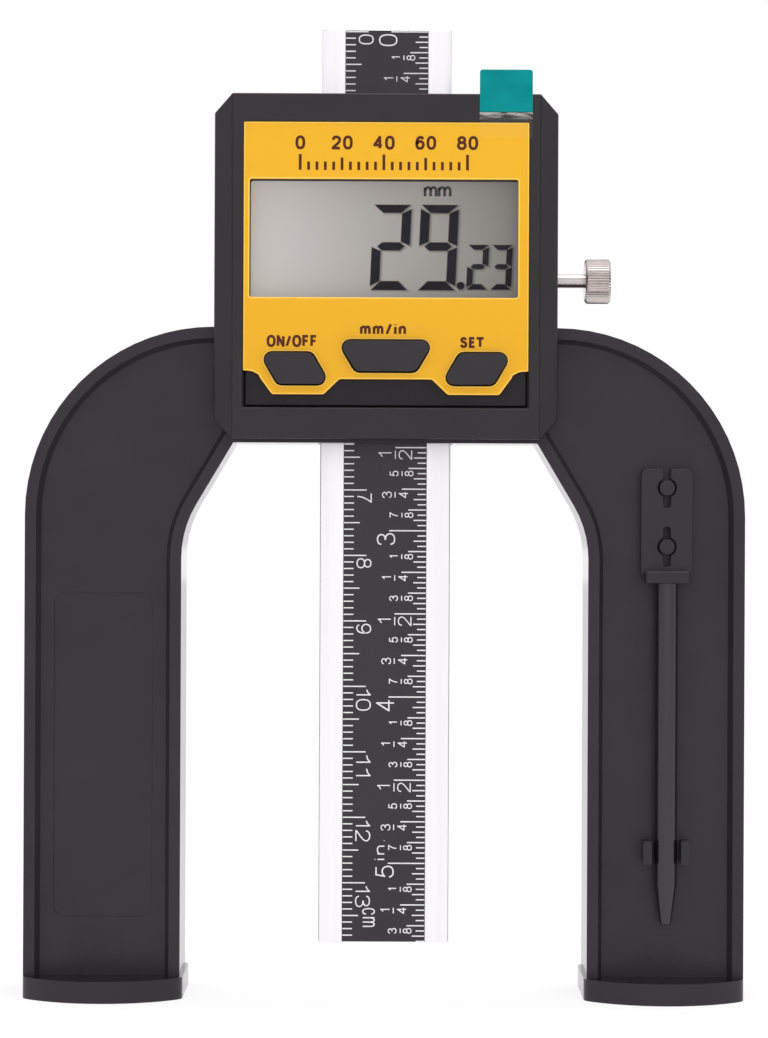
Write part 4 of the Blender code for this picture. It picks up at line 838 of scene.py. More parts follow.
STROKES: dict[str, list[list[Point]]] = {
    "0": [oval((0.31, 0.5), 0.31, 0.5)],
    "1": [[(0, 0.75), (0.16, 0.82), (0.3, 1), (0.3, 0)]],
    "2": [[*bent([(0.02, 0.72), (0.06, 0.88), (0.18, 0.98), (0.31, 1), (0.47, 0.96), (0.58, 0.85),
                  (0.6, 0.71), (0.53, 0.54), (0.38, 0.38), (0.19, 0.2), (0.06, 0.09), (0, 0)]), (0.62, 0)]],
    "3": [bent([(0, 0.77), (0.07, 0.93), (0.28, 1), (0.48, 0.94), (0.56, 0.77), (0.48, 0.6), (0.26, 0.54)]),
          bent([(0.26, 0.54), (0.5, 0.48), (0.61, 0.28), (0.53, 0.07), (0.29, 0), (0.08, 0.06), (0, 0.24)])],
    "4": [[(0.47, 0), (0.47, 1), (0, 0.29), (0.65, 0.29)]],
    "5": [[(0.56, 1), (0.13, 1), *bent([(0.04, 0.49), (0.16, 0.6), (0.33, 0.64), (0.52, 0.56), (0.61, 0.32),
                                        (0.53, 0.08), (0.29, 0), (0.08, 0.06), (0, 0.24)])]],
    "6": [plain_six()],
    "7": [[(0, 1), *bent([(0.62, 1), (0.43, 0.72), (0.28, 0.38), (0.21, 0)])]],
    "8": [oval((0.31, 0.77), 0.26, 0.23, 2.2), oval((0.31, 0.27), 0.31, 0.27, 2.3)],
    "9": [[(0.62 - x, 1 - y) for x, y in plain_six()]],
    "/": [[(0, 0), (0.36, 1)]],
    ".": [[(0, 0), (0, 0.06)]],
    "O": [oval((0.38, 0.5), 0.38, 0.5, 2.3)],
    "N": [[(0, 0), (0, 1), (0.62, 0), (0.62, 1)]],
    "F": [[(0, 0), (0, 1), (0.52, 1)], [(0, 0.52), (0.46, 0.52)]],
    "S": [bent([(0.57, 0.78), (0.49, 0.94), (0.3, 1), (0.1, 0.94), (0.04, 0.76), (0.13, 0.6), (0.32, 0.53),
                (0.52, 0.44), (0.6, 0.25), (0.51, 0.06), (0.29, 0), (0.08, 0.05), (0, 0.24)])],
    "E": [[(0.65, 1), (0.1, 1), (0.1, 0), (0.67, 0)], [(0.1, 0.52), (0.6, 0.52)]],
    "T": [[(-0.18, 1), (0.74, 1)], [(0.28, 1), (0.28, 0)]],
    "c": [bent([(0.47, 0.53), (0.38, 0.68), (0.24, 0.72), (0.07, 0.63), (0, 0.36), (0.07, 0.09), (0.24, 0),
                (0.39, 0.05), (0.48, 0.2)])],
    "i": [[(0, 0), (0, 0.72)], [(0, 0.94), (0, 1)]],
    "n": [[(0, 0), (0, 0.72)],
          [*bent([(0, 0.46), (0.08, 0.65), (0.24, 0.72), (0.38, 0.66), (0.44, 0.48)]), (0.44, 0)]],
    "m": [[(0, 0), (0, 0.72)],
          [*bent([(0, 0.48), (0.07, 0.65), (0.2, 0.72), (0.32, 0.66), (0.37, 0.5)]), (0.37, 0)],
          [*bent([(0.37, 0.48), (0.44, 0.65), (0.57, 0.72), (0.69, 0.66), (0.74, 0.5)]), (0.74, 0)]],
}


def ribbon(line: Sequence[Point], stroke: float) -> list[tuple[Point, Point]]:
    """Both borders of a stroke along a line, mitred where the line turns.

    Args:
        line: The middle of the stroke; it is closed if it ends where it starts.
        stroke: The stroke's width.

    Returns:
        The left and the right border point for each point of the line.
    """
    line = [p for i, p in enumerate(line) if i == 0 or math.dist(p, line[i - 1]) > stroke * 0.02]
    closed = len(line) > 2 and math.dist(line[0], line[-1]) < stroke * 0.1
    pairs = []
    for i, here in enumerate(line):
        before = line[i - 1] if i else (line[-2] if closed else None)
        after = line[i + 1] if i < len(line) - 1 else (line[1] if closed else None)
        sides = []
        for a, b in ((before, here), (here, after)):
            if a and b:
                length = math.dist(a, b)
                sides.append(((a[1] - b[1]) / length, (b[0] - a[0]) / length))
        nx, ny = (sum(side[k] for side in sides) for k in (0, 1))
        reach = stroke / 2 * len(sides) / max(nx * nx + ny * ny, 0.5 * len(sides))
        pairs.append(tuple((here[0] + nx * r, here[1] + ny * r) for r in (reach, -reach)))
    return pairs


def split(line: Sequence[Point], stroke: float, sharp: float = 100) -> list[list[Point]]:
    """Cuts a line where it turns sharply, so that each stroke keeps its width right up to the corner.

    Args:
        line: The middle of the stroke.
        stroke: Its width, of which a third is added to each end at a cut.
        sharp: The least turn that is cut, in degrees.

    Returns:
        The pieces of the line.
    """
    pieces = [[line[0]]]
    for before, here, after in zip(line, line[1:], line[2:]):
        pieces[-1].append(here)
        a, b = Vector(here) - Vector(before), Vector(after) - Vector(here)
        if a.length and b.length and a.angle(b) > math.radians(sharp):
            pieces.append([here])
    pieces[-1].append(line[-1])
    for left, right in zip(pieces, pieces[1:]):
        for piece, end, inner in ((left, -1, -2), (right, 0, 1)):
            tip = Vector(piece[end])
            piece[end] = tuple(tip + (tip - Vector(piece[inner])).normalized() * stroke * 0.33)
    return pieces


def lettering(words: str, height: float, middle: Point, depth: float, turn: float = 0,
              width: float | None = None, stroke: float = 0.2, thickness: float = 0.02,
              space: float = 0.2, lift: float = 0.002) -> Mesh:
    """Makes plain lettering of even strokes that faces the front.

    Args:
        words: What it says.
        height: Its height in millimetres.
        middle: The x and z of its middle, in millimetres.
        depth: The y of its front, in millimetres.
        turn: How far it is turned to the right, in degrees, as the front sees it.
        width: Its width in millimetres, or None for the type's own.
        stroke: How wide the strokes are, in millimetres.
        thickness: How thick the print is, in millimetres.
        space: How far the letters stand apart, as a part of their height.
        lift: How far each stroke stands before the last, so that none share a plane, in millimetres.

    Returns:
        A closed mesh, in place.
    """
    lines, start = [], 0.0
    for letter in words:
        shape = STROKES[letter]
        lines += [[(x + start, y) for x, y in line] for line in shape]
        start += max(x for line in shape for x, _ in line) + space + stroke / height
    xs, ys = [x for line in lines for x, _ in line], [y for line in lines for _, y in line]
    tall = (height - stroke) / (max(ys) - min(ys))
    wide = (width - stroke) / (max(xs) - min(xs)) if width and max(xs) > min(xs) else tall
    centre = ((max(xs) + min(xs)) / 2, (max(ys) + min(ys)) / 2)
    verts, faces = [], []
    lines = [[((x - centre[0]) * wide, (y - centre[1]) * tall) for x, y in line] for line in lines]
    for layer, line in enumerate(piece for whole in lines for piece in split(whole, stroke)):
        pairs = ribbon(line, stroke)
        first, front = len(verts), -lift * (layer % 4)
        for left, right in pairs:
            verts += [(x, y, z) for x, z in (left, right) for y in (front, thickness)]
        for i in range(first, len(verts) - 4, 4):
            faces += [(i, i + 2, i + 6, i + 4), (i + 1, i + 5, i + 7, i + 3), (i, i + 4, i + 5, i + 1),
                      (i + 2, i + 3, i + 7, i + 6)]
        last = len(verts) - 4
        faces += [(first, first + 1, first + 3, first + 2), (last, last + 2, last + 3, last + 1)]
    mesh = bpy.data.meshes.new("type")
    mesh.from_pydata([Vector(v) * MM for v in verts], [], faces)
    spun = Matrix.Rotation(math.radians(turn), 4, "Y")
    mesh.transform(Matrix.Translation(Vector((middle[0], depth, middle[1])) * MM) @ spun)
    return mesh


# Sub-assemblies


@dataclass
class Arch:
    """The moulded arch: two hollow legs with rims, and their feet; sizes in millimetres."""

    rounding: float = 0.14
    draft: float = 0.64
    panel: float = -4.7
    slopes: Point = (-5.95, -4.75)
    ejectors: Sequence[Point] = ((-42.6, 7.8), (42.95, 7.95))
    ejector_radius: float = 3.14
    ejector_depths: Point = (-0.02, 0.3)
    ejector_rounding: float = 0.02
    probe: Sequence[float] = (36, 50, 8, 81)
    head: Point = (25.85, 85.5)
    foot: float = 4

    def upright(self, spot: Vector, out: Vector) -> bool:
        """True where a tray's wall has no slope: beside the probe and the head, and on the feet."""
        left, right, low, high = self.probe
        by_probe = left < spot.x < right and low < spot.z < high
        by_head = abs(spot.x) < self.head[0] and spot.z > self.head[1]
        by_foot = out.z > 0.9 and spot.z < self.foot
        return by_probe or by_head or by_foot

    def drafted(self, made: Piece) -> Piece:
        """Slopes the walls of both front trays, as the mould needs.

        Args:
            made: The arch, whose walls meet the floors of its trays square.

        Returns:
            The same piece.
        """
        level, slack = self.panel * MM, 0.005 * MM
        pushes: dict[bmesh.types.BMVert, list[Vector]] = {}
        with edited(made) as shape:
            for edge in shape.edges:
                flat = all(abs(v.co.y - level) < slack for v in edge.verts)
                walls = [f for f in edge.link_faces if abs(f.normal.y) < 0.2]
                if not flat or len(walls) != 1 or edge.is_convex:
                    continue
                spot, out = sum((v.co for v in edge.verts), Vector()) / 2 / MM, walls[0].normal.copy()
                if not self.upright(spot, out):
                    for vert in edge.verts:
                        pushes.setdefault(vert, []).append(out)
            LOG.info("draft moves %d corners", len(pushes))
            for vert, outs in pushes.items():
                even = 1 + outs[0].dot(outs[1]) if len(outs) > 1 else 1
                vert.co += sum(outs, Vector()) * (self.draft * MM / even)
        return made

    def sloped(self, face: bpy.types.MeshPolygon) -> bool:
        """True for a tray's sloped wall, which gets a paler colour that stands in for light on it: painted
        light.
        """
        return self.slopes[0] < face.center.y / MM < self.slopes[1] and 0.1 < abs(face.normal.y) < 0.6

    def build(self) -> None:
        """Makes the arch with its rounded edges, and the marks that the mould's pins leave in its panels."""
        arch = rounded(self.drafted(cad_copy("arch_body")), self.rounding, angle=35)
        settle(arch, Finishes.ARCH, "root", "arch_body")
        # the sloped walls get the paler copy, as painted light
        Finishes.DRAFT.also(arch, self.sloped)
        front, back = (self.panel + depth for depth in self.ejector_depths)
        marks = joined("ejector_marks", [prism(circle(spot, self.ejector_radius), front, back)
                                         for spot in self.ejectors])
        settle(rounded(marks, self.ejector_rounding, 1), Finishes.ARCH, "root")
        Finishes.ZINC.on_nodes(*(f"foot_magnet_{i}" for i in range(1, 5)))


@dataclass
class Head:
    """The head: its bezel shell, its rear cover, and the hatch over the cell; sizes in millimetres."""

    rounding: float = 0.16
    half: float = 21.4
    low: float = 89.2
    top: float = 132.0
    floor: float = -10.9
    seam: Sequence[float] = (0.3, -10.95, -10.46)
    seam_top: float = 105.0
    lip: Sequence[float] = (20.2, 105.5, 123.4)
    lip_depths: Point = (-10.1, -9.3)
    lip_shift: float = 0.25
    slack: float = 0.05

    def seamed(self, made: Piece) -> Piece:
        """Cuts the narrow seam that runs round the foot of the recess.

        Args:
            made: The shell.

        Returns:
            The same piece.
        """
        wide, front, back = self.seam
        inner, outer, high = self.half - wide, self.half + self.slack, self.seam_top
        sill, foot = self.low + wide, self.low - self.slack
        outline = [(-outer, high), (-outer, foot), (outer, foot), (outer, high), (inner, high), (inner, sill),
                   (-inner, sill), (-inner, high)]
        cutter = from_bmesh("seam", prism(outline, front, back))
        cut = made.modifiers.new("seam", "BOOLEAN")
        cut.object, cut.solver = cutter, "EXACT"
        baked(made)
        bpy.data.objects.remove(cutter)
        return made

    def in_recess(self, face: bpy.types.MeshPolygon) -> bool:
        """True for the recess's floor, which is drawn darker and with less gloss than the shell."""
        x, y, z = face.center / MM
        inside = abs(x) < self.half - self.slack and self.low + self.slack < z < self.top
        return inside and face.normal.y < -0.9 and abs(y - self.floor) < 2 * self.slack

    def build(self) -> None:
        """Makes the shell, with a darker, less glossy floor in its recess, and the cover and the hatch behind
        it.
        """
        shell = cad_copy("head_shell")
        squared(shell, self.half, (self.low, self.top), self.floor + self.slack)
        reach, low, high = self.lip
        for vert in shell.data.vertices:
            x, y, z = vert.co / MM
            if -reach < x < 0 and self.lip_depths[0] < y < self.lip_depths[1] and low < z < high:
                vert.co.x -= self.lip_shift * MM
        shell = rounded(self.seamed(shell), self.rounding, even=True)
        settle(shell, Finishes.HEAD, "root", "head_shell")
        Finishes.RECESS.also(shell, self.in_recess)
        cover = rounded(cad_copy("rear_cover"), self.rounding, even=True)
        settle(cover, Finishes.HEAD, "root", "rear_cover")
        Finishes.HEAD.on_nodes("battery_cover")


@dataclass
class Face:
    """The yellow sheet on its plate, its printing, and the film over its corner; sizes in millimetres.

    The row of lines has a pitch, a count, a length, and which of them are longer, by how much. A caption has
    its word, its height, its width and its middle.
    """

    front: float = -11.8
    # width of the painted highlight band along the plate's edges
    edge: float = 0.2
    rounding: float = 0.08
    ink: float = 0.015
    half: float = 21.1
    top: float = 131.7
    margin: float = 0.25
    slack: float = 0.01
    window: Sequence[float] = (20.3, 104.4, 124.4)
    window_shift: Point = (-0.35, 0.13)
    step: Sequence[tuple[Point, Point]] = (((19.01, 93.85), (19.0, 94.12)), ((20.82, 94.76), (19.9, 94.6)),
                                           ((21.03, 94.95), (20.6, 94.72)), ((21.1, 95.21), (21.1, 94.74)))
    step_reach: float = 0.03
    lines: Point = (-12.9, 124.75)
    row: Row = (1.25, 21, 1.25, ((5, 0.6), (10, 0.5)))
    numbers: Sequence[str] = ("0", "20", "40", "60", "80")
    number_height: float = 2.1
    number_level: float = 128.85
    number_stroke: float = 0.42
    captions: Sequence[tuple[str, float, float, Point]] = (
        ("ON/OFF", 1.84, 7.6, (-14.02, 99.15)), ("mm/in", 1.84, 6.9, (-0.42, 101.0)),
        ("SET", 1.66, 3.73, (12.97, 99.04)))
    caption_stroke: float = 0.4

    def fitted(self, made: Piece) -> Piece:
        """Moves the plate's corners, its window and its borders by the little that the mould does.

        Args:
            made: The plate.

        Returns:
            The same piece.
        """
        squared(made, self.half, (self.top,), 0)
        half, low, high = self.window
        for vert in made.data.vertices:
            x, z = vert.co.x / MM, vert.co.z / MM
            for here, there in self.step:
                if math.dist((abs(x), z), here) < self.step_reach:
                    vert.co.x, vert.co.z = math.copysign(there[0], x) * MM, there[1] * MM
            x, z = vert.co.x / MM, vert.co.z / MM
            if abs(x) < half and low < z < high:
                vert.co += Vector((self.window_shift[0], 0, self.window_shift[1])) * MM
            if abs(x) > self.half - self.slack:
                vert.co.x += math.copysign(self.margin, x) * MM
            if z > self.top - self.slack:
                vert.co.z += self.margin * MM
        return made

    def plate(self) -> None:
        """Makes the plate, with a painted highlight, a paler band, round its outline and its openings."""
        made = self.fitted(cad_copy("face_plate"))
        Finishes.SHEET.on(made)
        made.data.materials.append(Finishes.SHEET_EDGE.value.material())
        with edited(made) as shape:
            level, slack = self.front * MM, self.slack * MM
            front = [f for f in shape.faces
                     if f.normal.y < -0.99 and abs(f.calc_center_median().y - level) < slack]
            # a band along each edge of the front gets the painted highlight
            rim = bmesh.ops.inset_region(shape, faces=front, thickness=self.edge * MM, use_even_offset=True)
            for face in rim["faces"]:
                face.material_index = 1
        bind(rounded(made, self.rounding), "root", "face_plate")

    def words(self) -> None:
        """Prints a small plain scale over the display, and what each button does."""
        left, low = self.lines
        pitch, _, _, longer = self.row
        depth, each = self.front - self.ink, longer[0][0] * pitch
        row = TickRow(*self.row, self.number_stroke, self.ink * 2, Finishes.PRINT)
        parts = [row.mesh((left, self.front, low), -90)]
        for i, number in enumerate(self.numbers):
            parts.append(lettering(number, self.number_height, (left + each * i, self.number_level), depth,
                                   stroke=self.number_stroke, thickness=self.ink))
        for word, tall, wide, place in self.captions:
            parts.append(lettering(word, tall, place, depth, width=wide, stroke=self.caption_stroke,
                                   thickness=self.ink))
        settle(joined("face_printing", parts), Finishes.PRINT, "root")

    def build(self) -> None:
        """Makes the face, and dresses the clear film and its pull tab."""
        self.plate()
        self.words()
        Finishes.FILM.on_nodes("protective_film")
        Finishes.TAB.on_nodes("film_tab")


@dataclass(frozen=True)
class Digit:
    """A seven-segment figure; sizes are in millimetres, from its lower left corner."""

    figure: str
    corner: Point
    size: Point
    bar: float
    post: float
    gap: float = 0.16
    slant: float = 0.045
    waist: float = 0.512
    SEGMENTS: ClassVar[dict[str, str]] = {"2": "abged", "3": "abgcd", "9": "abcdfg"}

    def segment(self, name: str) -> list[Point]:
        """The outline of one segment, by its usual letter."""
        w, h = self.size
        t, p, g = self.bar, self.post, self.gap
        m = h * self.waist
        shapes = {
            "a": [(g, h), (w - g, h), (w - p - g, h - t), (p + g, h - t)],
            "b": [(w, h - t * 0.55), (w, m + g), (w - p, m + t / 2 + g), (w - p, h - t - g)],
            "c": [(w, m - g), (w, t * 0.55), (w - p, t + g), (w - p, m - t / 2 - g)],
            "d": [(g, 0), (p + g, t * 1.1), (w - p - g, t * 1.1), (w - g, 0)],
            "e": [(0, m - g), (p, m - t / 2 - g), (p, t + g), (0, t * 0.55)],
            "f": [(0, h - t * 0.55), (p, h - t - g), (p, m + t / 2 + g), (0, m + g)],
            "g": [(p / 2 + g, m), (p + g, m + t / 2), (w - p - g, m + t / 2), (w - p / 2 - g, m),
                  (w - p - g, m - t / 2), (p + g, m - t / 2)],
        }
        return [(self.corner[0] + x + z * self.slant, self.corner[1] + z) for x, z in shapes[name]]

    def outlines(self) -> list[list[Point]]:
        """The outlines of the figure's dark segments."""
        return [self.segment(name) for name in self.SEGMENTS[self.figure]]


@dataclass
class Display:
    """The liquid crystal display, what it reads, and the window over it; sizes in millimetres.

    The big and the small figures each have a size, the widths of a bar and of a post, and, where it isn't
    the usual one, a gap.
    """

    front: float = -9.1
    soft: float = 0.15
    big: Sequence[Point | float] = ((5.67, 12.79), 1.18, 1.34)
    big_figures: Sequence[tuple[str, Point]] = (("2", (-2.44, 107.05)), ("9", (4.68, 107.05)))
    small: Sequence[Point | float] = ((3.1, 6.69), 0.7, 0.84, 0.1)
    small_figures: Sequence[tuple[str, Point]] = (("2", (12.07, 107.18)), ("3", (15.64, 107.18)))
    point: Point = (11.2, 107.72)
    point_radius: float = 0.56
    digits_lift: float = 0.03
    ghost_lift: float = 0.015
    ghost_shift: Point = (0.22, -0.12)
    ghost_grow: float = 0.18
    unit_place: Point = (7.7, 121.81)
    unit_size: Point = (4.2, 1.75)
    unit_cover: float = 0.45
    unit_stroke: float = 0.42
    unit_thickness: float = 0.01
    unit_space: float = -0.04
    window_rounding: float = 0.12

    def fade(self, mesh: Mesh, values: Sequence[float]) -> None:
        """Writes how dark each point of a mesh is."""
        mesh.attributes.new("fade", "FLOAT", "POINT").data.foreach_set("value", values)

    def borders(self, outline: Sequence[Point], grow: float) -> tuple[list[Point], list[Point]]:
        """Both ends of the soft border of an outline.

        Args:
            outline: The outline.
            grow: How much wider the border is, in millimetres.

        Returns:
            The ring where the border is dark, and the ring where it has gone.
        """
        area = sum(a[0] * b[1] - b[0] * a[1] for a, b in zip(outline, [*outline[1:], outline[0]]))
        loop = list(outline) if area > 0 else list(reversed(outline))
        outer, inner = [], []
        for i, (x, z) in enumerate(loop):
            before, after = loop[i - 1], loop[(i + 1) % len(loop)]
            normals = []
            for a, b in ((before, (x, z)), ((x, z), after)):
                length = math.dist(a, b)
                normals.append(((b[1] - a[1]) / length, -(b[0] - a[0]) / length))
            nx, nz = normals[0][0] + normals[1][0], normals[0][1] + normals[1][1]
            scale = 2 / max(nx * nx + nz * nz, 0.8)
            for ring, reach in ((inner, -self.soft * 0.35), (outer, self.soft * 0.65 + grow)):
                ring.append((x + nx * scale * reach, z + nz * scale * reach))
        return inner, outer

    def soft_plates(self, outlines: Iterable[Sequence[Point]], depth: float, name: str,
                    shift: Point = (0, 0), grow: float = 0) -> Piece:
        """Flat plates with a border that fades out.

        Args:
            outlines: The plates' outlines.
            depth: Where they lie along y, in millimetres.
            name: The piece's name.
            shift: How far they are moved, in millimetres.
            grow: How much wider the soft border is, in millimetres.

        Returns:
            The piece, with the attribute fade.
        """
        verts, faces, fades = [], [], []
        for outline in outlines:
            start, count = len(verts), len(outline)
            for ring, fade in zip(self.borders(outline, grow), (1.0, 0.0)):
                verts += [((x + shift[0]) * MM, depth * MM, (z + shift[1]) * MM) for x, z in ring]
                fades += [fade] * count
            faces.append([start + i for i in range(count)])
            faces += [[start + i, start + count + i, start + count + (i + 1) % count, start + (i + 1) % count]
                      for i in range(count)]
        mesh = bpy.data.meshes.new(name)
        mesh.from_pydata(verts, [], faces)
        self.fade(mesh, fades)
        return mesh_object(name, mesh)

    def reading(self) -> None:
        """Shows the reading, soft at its borders, with a painted shadow behind it: a faint grey copy, moved
        and widened.
        """
        figures = [Digit(*figure, *size) for size, row in ((self.big, self.big_figures),
                                                           (self.small, self.small_figures))
                   for figure in row]
        outlines = [outline for figure in figures for outline in figure.outlines()]
        outlines.append(circle(self.point, self.point_radius, 12))
        digits = self.soft_plates(outlines, self.front - self.digits_lift, "display_digits")
        settle(digits, Finishes.DIGITS, "root")
        # painted shadow: a paler, wider copy of the figures, moved down and to the right
        painted_digit_shadow = self.soft_plates(outlines, self.front - self.ghost_lift, "display_digit_shadows",
                                 self.ghost_shift, self.ghost_grow)
        settle(painted_digit_shadow, Finishes.GHOST, "root")

    def unit(self) -> None:
        """Shows the small unit over the reading."""
        wide, tall = self.unit_size
        mesh = lettering("mm", tall, self.unit_place, self.front - self.digits_lift, width=wide,
                         stroke=self.unit_stroke, thickness=self.unit_thickness, space=self.unit_space)
        self.fade(mesh, [self.unit_cover] * len(mesh.vertices))
        settle(mesh_object("display_unit", mesh), Finishes.DIGITS, "root")

    def build(self) -> None:
        """Dresses the display and its window, and makes the reading."""
        Finishes.GLASS.on_nodes("lcd_panel")
        window = rounded(cad_copy("display_window"), self.window_rounding)
        settle(window, Finishes.WINDOW, "root", "display_window")
        self.reading()
        self.unit()


@dataclass
class Buttons:
    """The three caps, with their plungers and switches behind them."""

    names: Sequence[str] = ("power", "units", "set")
    rounding: float = 0.09

    def build(self) -> None:
        """Makes each cap, and dresses what it presses."""
        for name in self.names:
            cap = rounded(cad_copy(f"button_{name}"), self.rounding, 2, 40)
            settle(cap, Finishes.BUTTON, f"{name}_button", f"button_{name}")
            Finishes.CHIP.on_nodes(f"switch_{name}")
            Finishes.BUTTON.on_nodes(f"plunger_{name}")


@dataclass
class Rule:
    """The steel rule and the black scale on it, in centimetres and in inches; sizes in millimetres.

    Each scale's numbers have a place across the rule and a height, and widths for a one and for the others.
    A fraction has, by its lower figure, a height, a width, and the places of its upper figure, its lower
    figure and its bar.
    """

    zero: float = 147.02
    half: float = 6.26
    front: float = -2.05
    ink: float = 0.02
    rounding: float = 0.15
    strip_rounding: float = 0.03
    centimetres: int = 13
    inches: int = 5
    eighths: int = 43
    gaps: Point = (0.42, 0.36)
    strokes: Sequence[float] = (0.19, 0.21, 0.16)
    metric_row: Row = (1.0, 139, 1.5, ((5, 0.9), (10, 1.05)))
    imperial_row: Row = (INCH / 32, 176, 1.3, ((2, 0.6), (4, 0.8), (8, 1.0), (16, 1.05), (32, 0.85)))
    metric: Point = (-3.18, 2.3)
    metric_widths: Sequence[float] = (0.85, 1.54, 3.3)
    imperial: Point = (0.17, 2.82)
    imperial_widths: Point = (0.95, 1.84)
    units: Sequence[tuple[str, float, Point, float, float]] = (
        ("cm", 1.97, (-2.25, 11.73), 90, 2.91), ("in.", 1.67, (-0.61, 22.04), -90, 3.06))
    fractions: Sequence[tuple[int, tuple[float, ...]]] = (
        (2, (2.08, 1.5, 0.0, 3.07, 1.55)), (4, (1.5, 1.0, 0.28, 2.82, 1.52)),
        (8, (1.35, 0.86, 1.37, 3.65, 2.59)))

    def numbers(self) -> list[Mesh]:
        """The numbers of both scales, each just under its line, and the fractions.

        Returns:
            One mesh for each number or word.
        """
        depth = self.front - self.ink
        thin, thick, _ = self.strokes
        made = []
        place, tall = self.metric
        one, single, double = self.metric_widths
        for k in range(self.centimetres + 1):
            wide = one if k == 1 else single if k < 10 else double
            z = self.zero - 10 * k - self.gaps[0] - wide / 2
            made.append(lettering(str(k), tall, (place, z), depth, 90, wide, thin))
        for word, tall, middle, turn, wide in self.units:
            made.append(lettering(word, tall, middle, depth, turn, wide, thin))
        place, tall = self.imperial
        one, single = self.imperial_widths
        for k in range(self.inches + 1):
            wide = one if k == 1 else single
            z = self.zero - INCH * k - self.gaps[1] - wide / 2
            made.append(lettering(str(k), tall, (place, z), depth, -90, wide, thick))
        for k in range(1, self.eighths + 1):
            if k % 8:
                made += self.fraction(k % 8, self.zero - INCH * k / 8, depth)
        return made

    def fraction(self, eighths: int, line: float, depth: float) -> list[Mesh]:
        """One fraction: its upper figure, its bar and its lower figure.

        Args:
            eighths: The fraction in eighths.
            line: The z of its line, in millimetres.
            depth: The y of the print's front.

        Returns:
            The three meshes.
        """
        common = math.gcd(eighths, 8)
        over, under = eighths // common, 8 // common
        tall, wide, top, low, bar = dict(self.fractions)[under]
        stroke, half = self.strokes[2], wide * 0.42
        z = line - self.gaps[1] - wide / 2
        made = [lettering(str(over), tall, (top, z), depth, -90, wide if over != 1 else wide * 0.5, stroke),
                lettering(str(under), tall, (low, z), depth, -90, wide, stroke)]
        left, right = bar - stroke / 2, bar + stroke / 2
        outline = [(left, z - half), (right, z - half), (right, z + half), (left, z + half)]
        plate = prism(outline, depth, self.front)
        mesh = bpy.data.meshes.new("bar")
        plate.to_mesh(mesh)
        plate.free()
        return [*made, mesh]

    def build(self) -> None:
        """Makes the beam and its scale."""
        settle(rounded(cad_copy("rule_beam"), self.rounding), Finishes.RULE, "rule", "rule_beam")
        strip = rounded(cad_copy("scale_strip"), self.strip_rounding, 1)
        settle(strip, Finishes.SCALE, "rule", "scale_strip")
        left, right = (TickRow(*row, thickness=self.ink * 2) for row in (self.metric_row, self.imperial_row))
        parts = [left.mesh((-self.half, self.front, self.zero)),
                 right.mesh((self.half, self.front, self.zero), 180), *self.numbers()]
        settle(joined("scale_printing", parts), Finishes.SCALE_PRINT, "rule")
        Finishes.ZINC.on_nodes("stop_pin_upper", "stop_pin_lower")
        Finishes.BRONZE.on_nodes("guide_spring")


